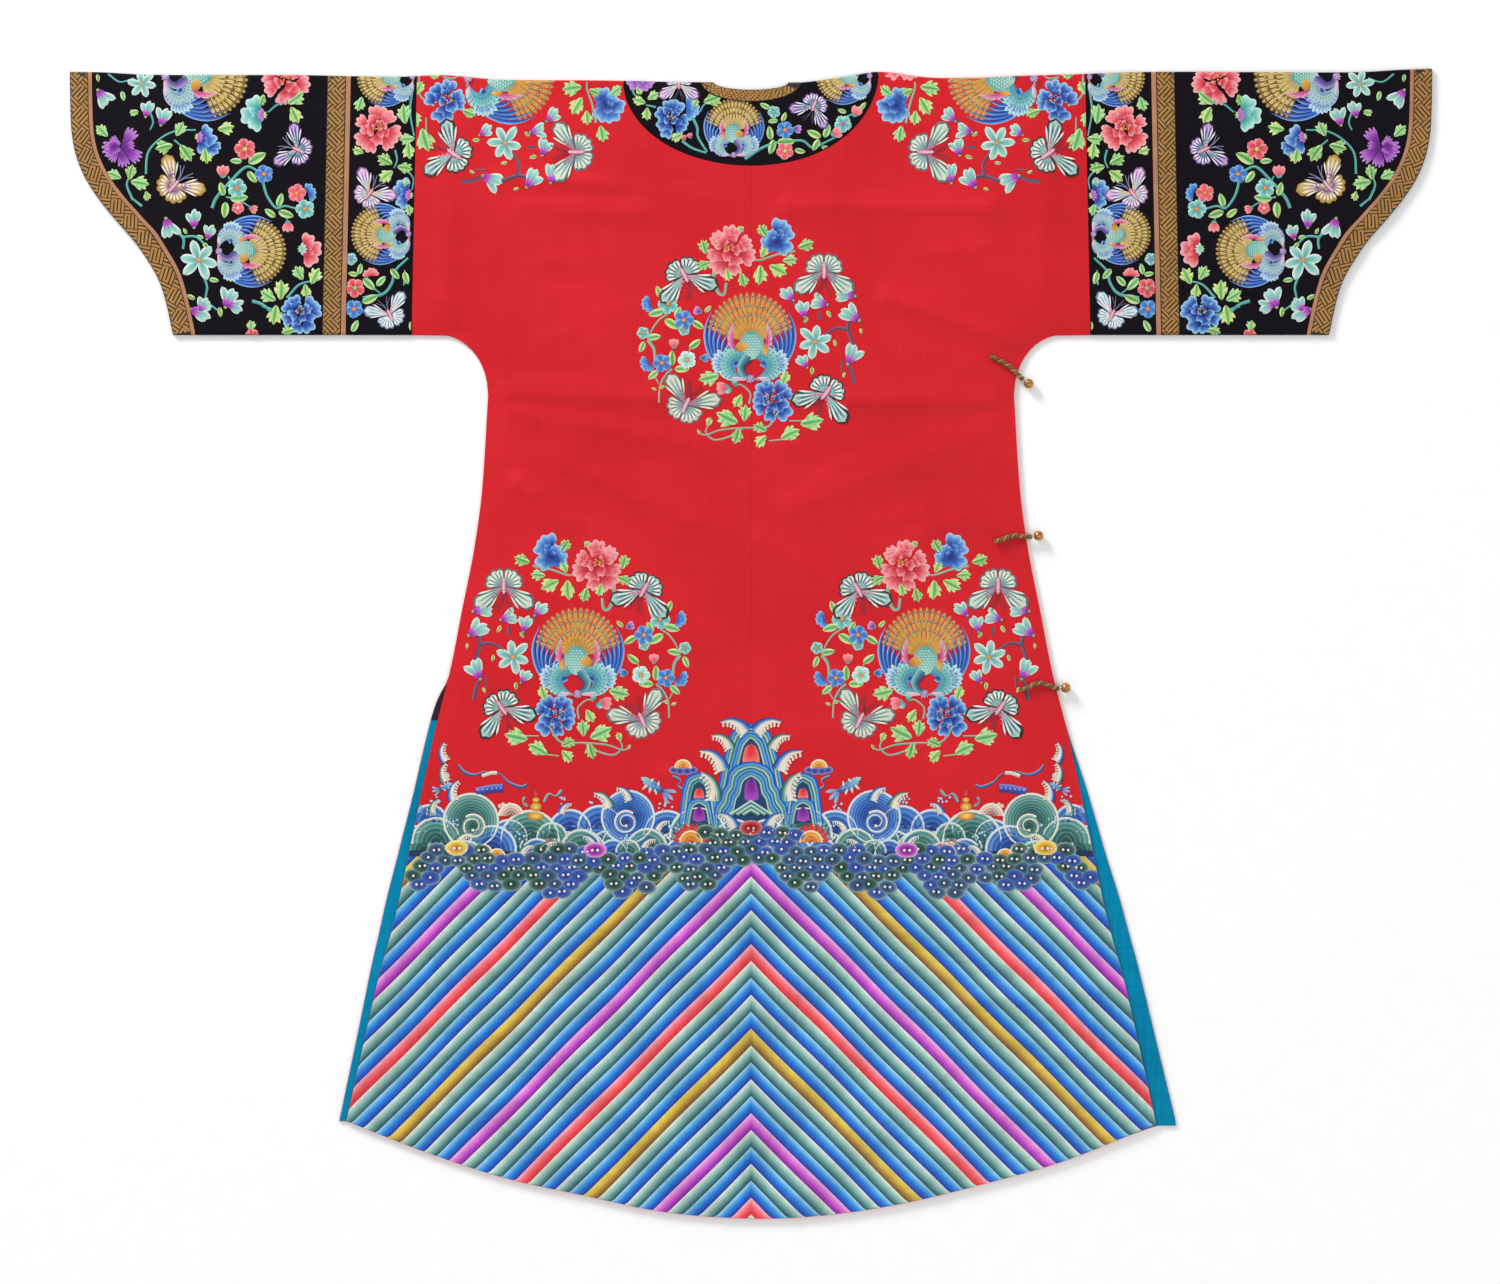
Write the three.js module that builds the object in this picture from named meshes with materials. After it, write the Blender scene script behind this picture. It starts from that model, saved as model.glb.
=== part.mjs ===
// Embroidered silk robe, laid flat with its back upwards, in millimetres.
// X runs across the sleeves, Y from the hem to the collar, Z up from the surface it lies on.
// The pattern is drawn unfolded: x from the centre seam, and s along the cloth from the
// shoulder fold, positive down the back and negative down the front.
import * as THREE from 'three';

// Driving sizes
const LENGTH = 1403;            // shoulder fold to the lowest point of the back hem
const HEM_HALF = 498;           // centre seam to the back hem's corner
const WALL = 1.4;               // silk, lining and embroidery together
const SEAM = 0.3;               // left open between two pieces that are sewn together
const SLEEVE_DEPTH = 316;       // shoulder fold to the underside of the sleeve
const SLIT_TOP = 757;           // below this the front and back hang apart

// Heights of the layers: the outer front lies lowest, the inner front on it, the back on top.
const LEVEL_INNER = WALL + SEAM;
const LEVEL_BACK = 2 * (WALL + SEAM);
const FOLD = (LEVEL_BACK + WALL) / 2;       // outer radius of the fold at the shoulder

// Armpit: a quarter ellipse between the sleeve's underside and the side seam.
const ARMPIT = { x: 382.5, down: 390, wide: 59, high: 74 };

// Half width of the back, measured at these distances below the shoulder fold
const SIDE = [
  { down: 390, half: 323.5 }, { down: 507, half: 331 }, { down: 581, half: 341 },
  { down: 654, half: 355.5 }, { down: 728, half: 370 }, { down: 802, half: 388.5 },
  { down: 922, half: 414.5 }, { down: 1033, half: 438 }, { down: 1110, half: 459 },
  { down: 1200, half: 479.5 }, { down: 1284, half: 498 },
];

// How far the front shows beyond the back, on the left and on the right of the view from above
const FRONT_SHOWS = [
  { down: 740, left: 0, right: 0 }, { down: 765, left: 7, right: 0 }, { down: 802, left: 9, right: 1 },
  { down: 876, left: 10, right: 9 }, { down: 950, left: 13, right: 15 }, { down: 1023, left: 16, right: 22 },
  { down: 1134, left: 11, right: 22 }, { down: 1284, left: 9, right: 25 },
];

// Lower edge of the back, as its distance below the shoulder fold
const HEM = [
  { x: -498, down: 1283 }, { x: -401, down: 1321 }, { x: -303, down: 1353 }, { x: -204, down: 1375 },
  { x: -106, down: 1395 }, { x: 0, down: LENGTH }, { x: 91, down: 1399 }, { x: 189, down: 1384 },
  { x: 288, down: 1360 }, { x: 386, down: 1332 }, { x: 498, down: 1287 },
];

// Outer edge of the wide cuff
const CUFF_EDGE = [
  { down: 0, half: 838 }, { down: 50, half: 837 }, { down: 76, half: 835 }, { down: 101, half: 829 },
  { down: 125, half: 818 }, { down: 150, half: 801.5 }, { down: 175, half: 781 }, { down: 199, half: 760 },
  { down: 224, half: 742.5 }, { down: 248, half: 729 }, { down: 273, half: 720.5 }, { down: 316, half: 711 },
];

// The shoulder line isn't quite straight: it stands this much above its mean line.
const SHOULDER_RISE = [
  { x: -838, rise: 8 }, { x: -800, rise: 7.5 }, { x: -740, rise: 4.5 }, { x: -560, rise: 4 },
  { x: -432, rise: 2 }, { x: -380, rise: 4 }, { x: -309, rise: -1.5 }, { x: -186, rise: -2.5 },
  { x: -87, rise: -4.5 }, { x: 60, rise: -5 }, { x: 85, rise: -2.5 }, { x: 122, rise: 3 },
  { x: 159, rise: 8 }, { x: 220, rise: 1 }, { x: 282, rise: 1 }, { x: 343, rise: 3.5 },
  { x: 410, rise: 5.5 }, { x: 500, rise: 8 }, { x: 740, rise: 7.5 }, { x: 800, rise: 10.5 },
  { x: 838, rise: 12 },
];
const RISE_FADES = 120;         // the unevenness is gone this far below the shoulder
const TOP_RISE = 12;
const FRONT_HEM_SHOWS = 0.6;    // the front hem shows this much below the back hem
const FRONT_HEM_RIGHT = 1.6;      // and this much more at its right corner
const SHOULDER_Y = (LENGTH + FRONT_HEM_SHOWS - TOP_RISE) / 2;

// Sleeve: where each ring of cloth starts and ends at the shoulder fold
const SLEEVE_SLANT = 6.5;       // the sleeve seams lean outwards by this much at the underside
const BODY_END = 411;
const BAND_END = 492;
const PIPING_WIDE = 6;
const RIBBON_END = 521;
const CUFF_TRIM_WIDE = 27;
const CUFF_PIPING_WIDE = 4.5;

// Collar: half ellipses round the neck, on the back and on the front
const YOKE = { wide: 157, back: 107, front: 115 };
const NECK = { wide: 46, back: 9.5, front: 75 };
const NECK_TRIM_WIDE = 15;

// The outer front crosses over: its upper edge runs from the collar to the right armpit.
const OVERLAP_TOP = { start: 118, end: 394 };

// Linings of the front that show at the side slits
const LINING_WALL = 1.0;
const LINING_WIDE = 58;
const LINING_EDGE = 0.3;
const FACING_END = 790;

// Ball buttons and their cord loops: places on the view from above
const BUTTON_RADIUS = 6.2;
const SHANK_RADIUS = 1.6;
const SHANK_LONG = 2.6;
const CORD_RADIUS = 3.2;
const CORD_HEIGHT = LEVEL_BACK + WALL + SEAM + CORD_RADIUS;     // its middle, lying on the back
const FASTENINGS = [
  { x: 341.5, down: 376, cordX: 295, cordDown: 342, bow: 3 },
  { x: 353.5, down: 563, cordX: 300, cordDown: 570, bow: 4 },
  { x: 387, down: 750, cordX: 332, cordDown: 752, bow: 7 },
];

// Folds pressed into the back: soft ridges from one end to the other
const CREASES = [
  { name: 'right shoulder', x0: 48, d0: 160, x1: 294, d1: 161, wide: 15, high: 1.5 },
  { name: 'left shoulder', x0: -278, d0: 160, x1: -130, d1: 164, wide: 15, high: 0.9 },
  { name: 'left sleeve', x0: -374, d0: 105, x1: -372, d1: 300, wide: 15, high: 1.2 },
  { name: 'right sleeve', x0: 364, d0: 100, x1: 362, d1: 273, wide: 15, high: 1.2 },
  { name: 'right underarm', x0: 171, d0: 273, x1: 312, d1: 322, wide: 15, high: 1.7 },
  { name: 'left waist', x0: -300, d0: 388, x1: -112, d1: 396, wide: 15, high: 1.6 },
  { name: 'right waist', x0: 122, d0: 398, x1: 300, d1: 398, wide: 15, high: 1.7 },
  { name: 'left drape', x0: -290, d0: 412, x1: -63, d1: 455, wide: 20, high: 1.1 },
  { name: 'left hip', x0: -284, d0: 500, x1: -229, d1: 552, wide: 15, high: 1.6 },
  { name: 'left belly', x0: -229, d0: 475, x1: -38, d1: 560, wide: 24, high: 1.2 },
  { name: 'right belly', x0: 60, d0: 525, x1: 294, d1: 436, wide: 24, high: 1.3 },
  { name: 'centre', x0: 11, d0: 568, x1: 103, d1: 624, wide: 13, high: 0.9 },
  { name: 'right hem upper', x0: 257, d0: 1138, x1: 441, d1: 1122, wide: 16, high: 1.6 },
  { name: 'right hem lower', x0: 220, d0: 1240, x1: 400, d1: 1278, wide: 16, high: 1.2 },
  { name: 'left hem lower', x0: -378, d0: 1276, x1: -235, d1: 1245, wide: 16, high: 1.5 },
];

// Colours and finish
const CLOTH = {
  red: { color: 0xc81e28, roughness: 0.5 },
  black: { color: 0x17121a, roughness: 0.6 },
  gold: { color: 0xb08a3c, roughness: 0.55 },
  piping: { color: 0xc7a873, roughness: 0.6 },
  turquoise: { color: 0x0f86a8, roughness: 0.45 },
  cord: { color: 0x8a6a34, roughness: 0.7 },
  brass: { color: 0xb98b3e, roughness: 0.35, metalness: 0.9 },
};

const clamp01 = (t) => Math.min(1, Math.max(0, t));

function smoothstep(from, to, value) {
  const t = clamp01((value - from) / (to - from));
  return t * t * (3 - 2 * t);
}

// Reads a table with a smooth curve through its rows.
function lookUp(table, key, column, at) {
  const last = table.length - 1;
  if (at <= table[0][key]) return table[0][column];
  if (at >= table[last][key]) return table[last][column];
  let row = 0;
  while (table[row + 1][key] < at) row += 1;
  const value = (index) => table[Math.min(last, Math.max(0, index))][column];
  const place = (index) => table[Math.min(last, Math.max(0, index))][key];
  const slope = (index) => {
    const run = place(index + 1) - place(index - 1);
    return (value(index + 1) - value(index - 1)) / run;
  };
  const step = place(row + 1) - place(row);
  const t = (at - place(row)) / step;
  const a = (1 + 2 * t) * (1 - t) * (1 - t);
  const b = t * (1 - t) * (1 - t);
  const c = t * t * (3 - 2 * t);
  const d = t * t * (t - 1);
  return a * value(row) + b * step * slope(row) + c * value(row + 1) + d * step * slope(row + 1);
}

// Half width of the body at a distance below the shoulder fold, sleeve root included
function bodyHalf(down) {
  if (down <= SLEEVE_DEPTH) return sleeveSeam(BODY_END, down);
  if (down >= ARMPIT.down) return lookUp(SIDE, 'down', 'half', down);
  const t = (ARMPIT.down - down) / ARMPIT.high;
  return ARMPIT.x - ARMPIT.wide * Math.sqrt(Math.max(0, 1 - t * t));
}

function sleeveSeam(start, down) {
  return start + SLEEVE_SLANT * clamp01(down / SLEEVE_DEPTH);
}

function cuffEdge(down) {
  return lookUp(CUFF_EDGE, 'down', 'half', down);
}

// The cuff's edge moved inwards by a width measured square to it
function insideCuff(down, width) {
  const step = 4;
  const slope = (cuffEdge(down + step) - cuffEdge(down - step)) / (2 * step);
  return cuffEdge(down) - width * Math.sqrt(1 + slope * slope);
}

function backHem(x) {
  return lookUp(HEM, 'x', 'down', x);
}

function frontHem(x) {
  return backHem(x) + FRONT_HEM_SHOWS + FRONT_HEM_RIGHT * smoothstep(452, HEM_HALF, x);
}

function frontHalf(side, down) {
  const column = side < 0 ? 'left' : 'right';
  return bodyHalf(down) + lookUp(FRONT_SHOWS, 'down', column, down);
}

// Distance from a point of the back to its side edge or to the sleeve's underside
function fromEdge(x, down) {
  const half = Math.abs(x);
  if (down >= ARMPIT.down) return bodyHalf(down) - half;
  if (half >= ARMPIT.x) return SLEEVE_DEPTH - down;
  const across = (ARMPIT.x - half) / ARMPIT.wide;
  const along = (ARMPIT.down - down) / ARMPIT.high;
  const reach = Math.hypot(across, along);
  const size = (ARMPIT.high * along * along + ARMPIT.wide * across * across) / (reach * reach);
  return (reach - 1) * size;
}

function creaseHeight(x, down) {
  let height = 0;
  for (const fold of CREASES) {
    const dx = fold.x1 - fold.x0;
    const dd = fold.d1 - fold.d0;
    const length = Math.hypot(dx, dd);
    const along = ((x - fold.x0) * dx + (down - fold.d0) * dd) / length;
    const off = ((x - fold.x0) * dd - (down - fold.d0) * dx) / length;
    const past = Math.max(0, -along, along - length);
    height = Math.max(height, fold.high * Math.exp(-(off * off + past * past) / (fold.wide * fold.wide)));
  }
  return height;
}

// Underside of the back: it drops to the front at the seams, and rests on the lining at the slits.
function backUnder(x, down) {
  const edge = Math.max(0, fromEdge(x, down));
  const overlapSide = x > 0 ? smoothstep(ARMPIT.down - 60, ARMPIT.down - 10, down) : 0;
  const sewn = LEVEL_INNER + (LEVEL_BACK - LEVEL_INNER) * overlapSide;
  const onLining = LEVEL_INNER + LINING_WALL + SEAM;
  const edgeLevel = sewn + Math.max(0, onLining - sewn) * smoothstep(SLIT_TOP - 50, SLIT_TOP - 15, down);
  const flat = edgeLevel + (LEVEL_BACK - edgeLevel) * smoothstep(0, 24, edge);
  return flat + creaseHeight(x, down) * smoothstep(6, 50, edge) * smoothstep(FOLD, 40, down);
}

function shoulderY(x, down) {
  const fade = 1 - clamp01((down - FOLD) / RISE_FADES);
  return SHOULDER_Y + lookUp(SHOULDER_RISE, 'x', 'rise', x) * fade;
}

// Turns a point of the unfolded pattern into a point in space.
// depth is measured from the outer face into the cloth, and lift raises the front.
function place(x, s, depth, lift = 0) {
  const down = Math.abs(s);
  if (down < FOLD) {
    const turn = (s / FOLD) * (Math.PI / 2);
    const radius = FOLD - depth;
    const y = shoulderY(x, 0) - FOLD + radius * Math.cos(turn);
    return new THREE.Vector3(x, y, FOLD + radius * Math.sin(turn));
  }
  const z = s > 0 ? backUnder(x, down) + WALL - depth : depth + lift;
  return new THREE.Vector3(x, shoulderY(x, down) - down, z);
}

// A closed solid between two grids of points. Where wrap is set, the last row meets the first.
function sheetSolid(outer, inner, wrap = false) {
  const rows = outer.length;
  const cols = outer[0].length;
  const positions = [...outer.flat(), ...inner.flat()].flatMap((p) => [p.x, p.y, p.z]);
  const index = [];
  const quad = (a, b, c, d) => index.push(a, b, c, a, c, d);
  const out = (i, j) => (i % rows) * cols + j;
  const inn = (i, j) => rows * cols + out(i, j);
  const spans = wrap ? rows : rows - 1;
  for (let i = 0; i < spans; i += 1) {
    for (let j = 0; j < cols - 1; j += 1) {
      quad(out(i, j), out(i, j + 1), out(i + 1, j + 1), out(i + 1, j));
      quad(inn(i, j), inn(i + 1, j), inn(i + 1, j + 1), inn(i, j + 1));
    }
    quad(out(i, 0), out(i + 1, 0), inn(i + 1, 0), inn(i, 0));
    quad(out(i, cols - 1), inn(i, cols - 1), inn(i + 1, cols - 1), out(i + 1, cols - 1));
  }
  if (!wrap) {
    for (let j = 0; j < cols - 1; j += 1) {
      quad(out(0, j), inn(0, j), inn(0, j + 1), out(0, j + 1));
      quad(out(rows - 1, j), out(rows - 1, j + 1), inn(rows - 1, j + 1), inn(rows - 1, j));
    }
  }
  const geometry = new THREE.BufferGeometry();
  geometry.setAttribute('position', new THREE.Float32BufferAttribute(positions, 3));
  geometry.setIndex(signedVolume(positions, index) < 0 ? index.reverse() : index);
  geometry.computeVertexNormals();
  return geometry;
}

function signedVolume(positions, index) {
  const point = (i) => new THREE.Vector3().fromArray(positions, 3 * i);
  let six = 0;
  for (let i = 0; i < index.length; i += 3) {
    six += point(index[i]).dot(point(index[i + 1]).cross(point(index[i + 2])));
  }
  return six / 6;
}

const robe = new THREE.Group();

function addPiece(name, geometry, cloth) {
  const { color, roughness, metalness = 0 } = CLOTH[cloth];
  const material = new THREE.MeshStandardMaterial({ color, roughness, metalness });
  const mesh = new THREE.Mesh(geometry, material);
  mesh.name = name;
  robe.add(mesh);
}

function steps(from, to, count) {
  return Array.from({ length: count + 1 }, (_, i) => from + ((to - from) * i) / count);
}

// Columns of a panel, closer together near the side edge where it turns down
const COLUMNS = [0, 0.12, 0.25, 0.38, 0.51, 0.64, 0.76, 0.86, 0.935, 0.98, 1];

// Rows round the collar: the same angles cut the collar and the body's edge beside it.
const COLLAR_ANGLES = [1.4, 6, 12, 21, 32, 45, 60, 75, 90].map((degrees) => (degrees * Math.PI) / 180);

function ellipsePoint(shape, angle, grow = 0) {
  const high = angle >= 0 ? shape.back : shape.front;
  return { x: (shape.wide + grow) * Math.cos(angle), s: (high + grow) * Math.sin(angle) };
}

// Rows that follow the round of the armpit, as distances below the shoulder fold
const ARMPIT_ROWS = [316.6, 318.5, 323, 331, 343, 358, 374];

// The rows of one side of half a body, from the shoulder to the hem. Each has its inner edge
// and a function that gives its distance below the fold.
function bodyRows(sign, upperSteps, middleSteps, hemSteps, hemLine) {
  const level = (down) => () => sign * down;
  const rows = [];
  for (const angle of COLLAR_ANGLES) {
    const point = ellipsePoint(YOKE, sign * angle, SEAM);
    rows.push({ inner: Math.max(SEAM / 2, point.x), s: () => point.s });
  }
  const collarEnd = (sign > 0 ? YOKE.back : YOKE.front) + SEAM;
  for (const down of steps(collarEnd, SLEEVE_DEPTH, upperSteps).slice(1)) {
    rows.push({ inner: SEAM / 2, s: level(down) });
  }
  for (const down of ARMPIT_ROWS) rows.push({ inner: SEAM / 2, s: level(down) });
  for (const down of steps(ARMPIT.down, SLIT_TOP, middleSteps)) {
    rows.push({ inner: SEAM / 2, s: level(down) });
  }
  for (const t of steps(0, 1, hemSteps).slice(1)) {
    rows.push({ inner: SEAM / 2, s: (x) => sign * (SLIT_TOP + (hemLine(x) - SLIT_TOP) * t) });
  }
  return rows;
}

// Points of one row, on both faces: the outer end is found where the row meets the outline.
function rowPoints(row, side, outline, lift) {
  let end = outline(Math.abs(row.s(side * row.inner)));
  for (let pass = 0; pass < 12; pass += 1) end = outline(Math.abs(row.s(side * end)));
  const pointAt = (t, depth) => {
    const x = side * (row.inner + (end - row.inner) * t);
    const s = row.s(x);
    return place(x, s, depth, lift(x, Math.abs(s)));
  };
  return { outer: COLUMNS.map((t) => pointAt(t, 0)), inner: COLUMNS.map((t) => pointAt(t, WALL)) };
}

const INNER_FRONT_SHORT = 66;   // the hidden inner front ends this much before the slit and hem

function bodyHalfPiece(side) {
  const noLift = () => 0;
  const crossed = side > 0;
  const frontOutline = (down) => {
    if (!crossed) return frontHalf(side, down);
    return bodyHalf(down) - INNER_FRONT_SHORT * smoothstep(SLIT_TOP - 140, SLIT_TOP - 30, down);
  };
  const frontLine = crossed ? (x) => backHem(x) - INNER_FRONT_SHORT : frontHem;
  const lift = crossed ? innerFrontLift : noLift;
  const back = bodyRows(1, 8, 12, 14, backHem);
  const front = bodyRows(-1, 6, 4, 6, frontLine);
  const foldEdge = { inner: YOKE.wide + SEAM };
  const fold = [1, 0.5, 0, -0.5, -1].map((t) => ({ ...foldEdge, s: () => t * FOLD }));
  const made = [
    ...back.reverse().map((row) => rowPoints(row, side, bodyHalf, noLift)),
    ...fold.map((row) => rowPoints(row, side, bodyHalf, noLift)),
    ...front.map((row) => rowPoints(row, side, frontOutline, lift)),
  ];
  return sheetSolid(made.map((row) => row.outer), made.map((row) => row.inner));
}

// Upper edge of the crossed-over front, from the collar to the armpit
function overlapTop(x) {
  return OVERLAP_TOP.start + (OVERLAP_TOP.end - OVERLAP_TOP.start) * smoothstep(-60, 324, x) ** 1.3;
}

const LIFT_STARTS = 84;         // the inner front climbs onto the outer one between these
const LIFT_ENDS = 38;           // distances above its edge

function innerFrontLift(x, down) {
  const above = overlapTop(x) - down;
  return LEVEL_INNER * clamp01((LIFT_STARTS - above) / (LIFT_STARTS - LIFT_ENDS));
}

function overlapPiece() {
  const rows = steps(0, 1, 16).map((t) => ({
    inner: SEAM / 2,
    s: (x) => -(overlapTop(x) + (frontHem(x) - overlapTop(x)) * t),
  }));
  const outline = (down) => frontHalf(1, Math.max(down, ARMPIT.down));
  const made = rows.map((row) => rowPoints(row, 1, outline, () => 0));
  return sheetSolid(made.map((row) => row.outer), made.map((row) => row.inner));
}

// A ring of cloth round the neck between two half ellipses, folded over the shoulders
function collarRing(insideShape, outsideShape, across) {
  const half = [0, ...COLLAR_ANGLES];
  const quarter = half.slice(0, -1);
  const turn = [
    ...quarter, ...half.map((a) => Math.PI - a).reverse(),
    ...quarter.slice(1).map((a) => Math.PI + a), ...half.slice(1).map((a) => 2 * Math.PI - a).reverse(),
  ];
  const pointAt = (angle, t, depth) => {
    const back = Math.sin(angle) >= 0;
    const high = back ? 'back' : 'front';
    const wide = insideShape.wide + (outsideShape.wide - insideShape.wide) * t;
    const tall = insideShape[high] + (outsideShape[high] - insideShape[high]) * t;
    return place(wide * Math.cos(angle), tall * Math.sin(angle), depth);
  };
  const grid = (depth) => turn.map((angle) => across.map((t) => pointAt(angle, t, depth)));
  return sheetSolid(grid(0), grid(WALL), true);
}

function grown(shape, by) {
  return { wide: shape.wide + by, back: shape.back + by, front: shape.front + by };
}

// Points round a flattened sleeve, as distances below the shoulder and heights
function sleeveLoop(depth) {
  const radius = FOLD - depth;
  const flats = [0, 0.05, 0.14, 0.23, 0.32, 0.41, 0.5, 0.59, 0.68, 0.77, 0.86, 0.95, 1];
  const span = SLEEVE_DEPTH - 2 * FOLD;
  const back = flats.map((t) => ({ down: FOLD + span * t, back: true }));
  const under = [0.5, 0, -0.5].map((t) => ({ turn: t * (Math.PI / 2), low: true }));
  const fewer = flats.filter((_, i) => i % 2 === 0).reverse();
  const front = fewer.map((t) => ({ down: FOLD + span * t, back: false }));
  const top = [-0.5, 0, 0.5].map((t) => ({ turn: t * (Math.PI / 2), low: false }));
  return [...back, ...under, ...front, ...top].map((point) => {
    if (point.turn === undefined) return { ...point, depth };
    const reach = radius * Math.cos(point.turn);
    const down = point.low ? SLEEVE_DEPTH - FOLD + reach : FOLD - reach;
    return { down, height: FOLD + radius * Math.sin(point.turn) };
  });
}

// Height of a sleeve's upper layer: level with the shoulder fold at both of its edges
function sleeveUnder(x, down) {
  const edge = Math.min(down, SLEEVE_DEPTH - down);
  return LEVEL_BACK + creaseHeight(x, down) * smoothstep(FOLD, 40, edge);
}

function sleeveRing(side, from, to, stepsAcross) {
  const grid = (depth) => sleeveLoop(depth).map((point) => steps(0, 1, stepsAcross).map((t) => {
    const down = clamp01(point.down / SLEEVE_DEPTH) * SLEEVE_DEPTH;
    const x = side * (from(down) + (to(down) - from(down)) * t);
    const y = shoulderY(x, point.down) - point.down;
    const laid = point.back ? sleeveUnder(x, down) + WALL - depth : depth;
    return new THREE.Vector3(x, y, point.height ?? laid);
  }));
  return sheetSolid(grid(0), grid(WALL), true);
}

// The rings of a sleeve, from the body outwards, each with its two edges
const seamAt = (start) => (down) => sleeveSeam(start, down);
const inside = (width) => (down) => insideCuff(down, width);
const PIPING_END = BAND_END + PIPING_WIDE;
const CUFF_RIBBON_WIDE = CUFF_TRIM_WIDE - CUFF_PIPING_WIDE;
const SLEEVE_RINGS = [
  { name: 'sleeve_band', cloth: 'black', cells: 2, from: seamAt(BODY_END + SEAM), to: seamAt(BAND_END) },
  {
    name: 'sleeve_piping', cloth: 'piping', cells: 1,
    from: seamAt(BAND_END + SEAM), to: seamAt(PIPING_END),
  },
  {
    name: 'sleeve_ribbon', cloth: 'gold', cells: 1,
    from: seamAt(PIPING_END + SEAM), to: seamAt(RIBBON_END),
  },
  {
    name: 'cuff', cloth: 'black', cells: 6,
    from: seamAt(RIBBON_END + SEAM), to: inside(CUFF_TRIM_WIDE + SEAM),
  },
  {
    name: 'cuff_piping', cloth: 'piping', cells: 1,
    from: inside(CUFF_TRIM_WIDE), to: inside(CUFF_RIBBON_WIDE),
  },
  { name: 'cuff_ribbon', cloth: 'gold', cells: 1, from: inside(CUFF_RIBBON_WIDE - SEAM), to: inside(0) },
];

// A strip on the inner face of the front, beside the slit
function slitStrip(side, fromDown, toDown, stepsDown) {
  const rows = steps(fromDown, toDown, stepsDown).map((down) => {
    const outer = (at) => frontHalf(side, at) - LINING_EDGE;
    const across = [1, 0.5, 0].map((t) => LINING_WIDE * t);
    return across.map((inwards) => {
      const x = side * (outer(down) - inwards);
      const y = SHOULDER_Y - Math.min(down, frontHem(x) - LINING_EDGE);
      return { x, y };
    });
  });
  const grid = (z) => rows.map((row) => row.map(({ x, y }) => new THREE.Vector3(x, y, z)));
  return sheetSolid(grid(LEVEL_INNER + LINING_WALL), grid(LEVEL_INNER));
}

// The lining runs down to the lowest point of the front hem that it covers
function liningEnd(side) {
  const end = frontHem(side * (HEM_HALF - LINING_WIDE / 2));
  return Math.max(end, frontHem(side * (HEM_HALF - LINING_WIDE))) - LINING_EDGE;
}

// Direction in which a cord runs to its button
function cordAhead(spot) {
  return new THREE.Vector2(spot.x - spot.cordX, spot.cordDown - spot.down).normalize();
}

// Cord loop: from its stitched end on the back, over the side edge, to the button's shank
function cordLoop(spot) {
  const ahead = cordAhead(spot);
  const reach = Math.hypot(spot.x - spot.cordX, spot.cordDown - spot.down);
  const length = reach - BUTTON_RADIUS - SHANK_LONG - SEAM;
  const points = steps(0, 1, 14).map((t) => {
    const aside = spot.bow * Math.sin(Math.PI * t) ** 2;
    const x = spot.cordX + ahead.x * length * t - ahead.y * aside;
    const y = SHOULDER_Y - spot.cordDown + ahead.y * length * t + ahead.x * aside;
    return new THREE.Vector3(x, y, CORD_HEIGHT + creaseHeight(x, SHOULDER_Y - y));
  });
  const section = new THREE.Shape();
  section.absarc(0, 0, CORD_RADIUS, 0, 2 * Math.PI);
  const path = new THREE.CatmullRomCurve3(points);
  const making = { steps: 14, extrudePath: path, bevelEnabled: false, curveSegments: 4 };
  return new THREE.ExtrudeGeometry(section, making);
}

// Ball with a short shank that points up at the end of its cord
function ballButton(spot) {
  const neck = Math.asin(SHANK_RADIUS / BUTTON_RADIUS);
  const round = steps(-Math.PI / 2, Math.PI / 2 - neck, 8).map((angle) => (
    new THREE.Vector2(BUTTON_RADIUS * Math.cos(angle), BUTTON_RADIUS * Math.sin(angle))
  ));
  round[0].x = 0;
  const end = BUTTON_RADIUS + SHANK_LONG;
  const shank = [new THREE.Vector2(SHANK_RADIUS, end), new THREE.Vector2(0, end)];
  const geometry = new THREE.LatheGeometry([...round, ...shank], 14);
  const ahead = cordAhead(spot);
  geometry.rotateX(Math.atan2(CORD_HEIGHT - BUTTON_RADIUS, end));
  geometry.rotateZ(Math.PI / 2 + Math.atan2(ahead.y, ahead.x));
  geometry.translate(spot.x, SHOULDER_Y - spot.down, BUTTON_RADIUS);
  return geometry;
}

const SIDES = [{ side: -1, word: 'left' }, { side: 1, word: 'right' }];

for (const { side, word } of SIDES) {
  addPiece(`body_${word}`, bodyHalfPiece(side), 'red');
  for (const ring of SLEEVE_RINGS) {
    addPiece(`${ring.name}_${word}`, sleeveRing(side, ring.from, ring.to, ring.cells), ring.cloth);
  }
  addPiece(`slit_facing_${word}`, slitStrip(side, SLIT_TOP - 10, FACING_END, 2), 'black');
  addPiece(`lining_${word}`, slitStrip(side, FACING_END + SEAM, liningEnd(side), 14), 'turquoise');
}
addPiece('overlap_front', overlapPiece(), 'red');
addPiece('collar_yoke', collarRing(grown(NECK, NECK_TRIM_WIDE + SEAM), YOKE, [0, 0.5, 1]), 'black');
addPiece('neck_ribbon', collarRing(NECK, grown(NECK, NECK_TRIM_WIDE), [0, 1]), 'gold');
FASTENINGS.forEach((spot, i) => {
  addPiece(`cord_loop_${i + 1}`, cordLoop(spot), 'cord');
  addPiece(`ball_button_${i + 1}`, ballButton(spot), 'brass');
});

export default robe;
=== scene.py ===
"""Embroidered silk robe, laid flat with its back up: cloth, embroidery, fastenings, studio."""
import math

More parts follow.
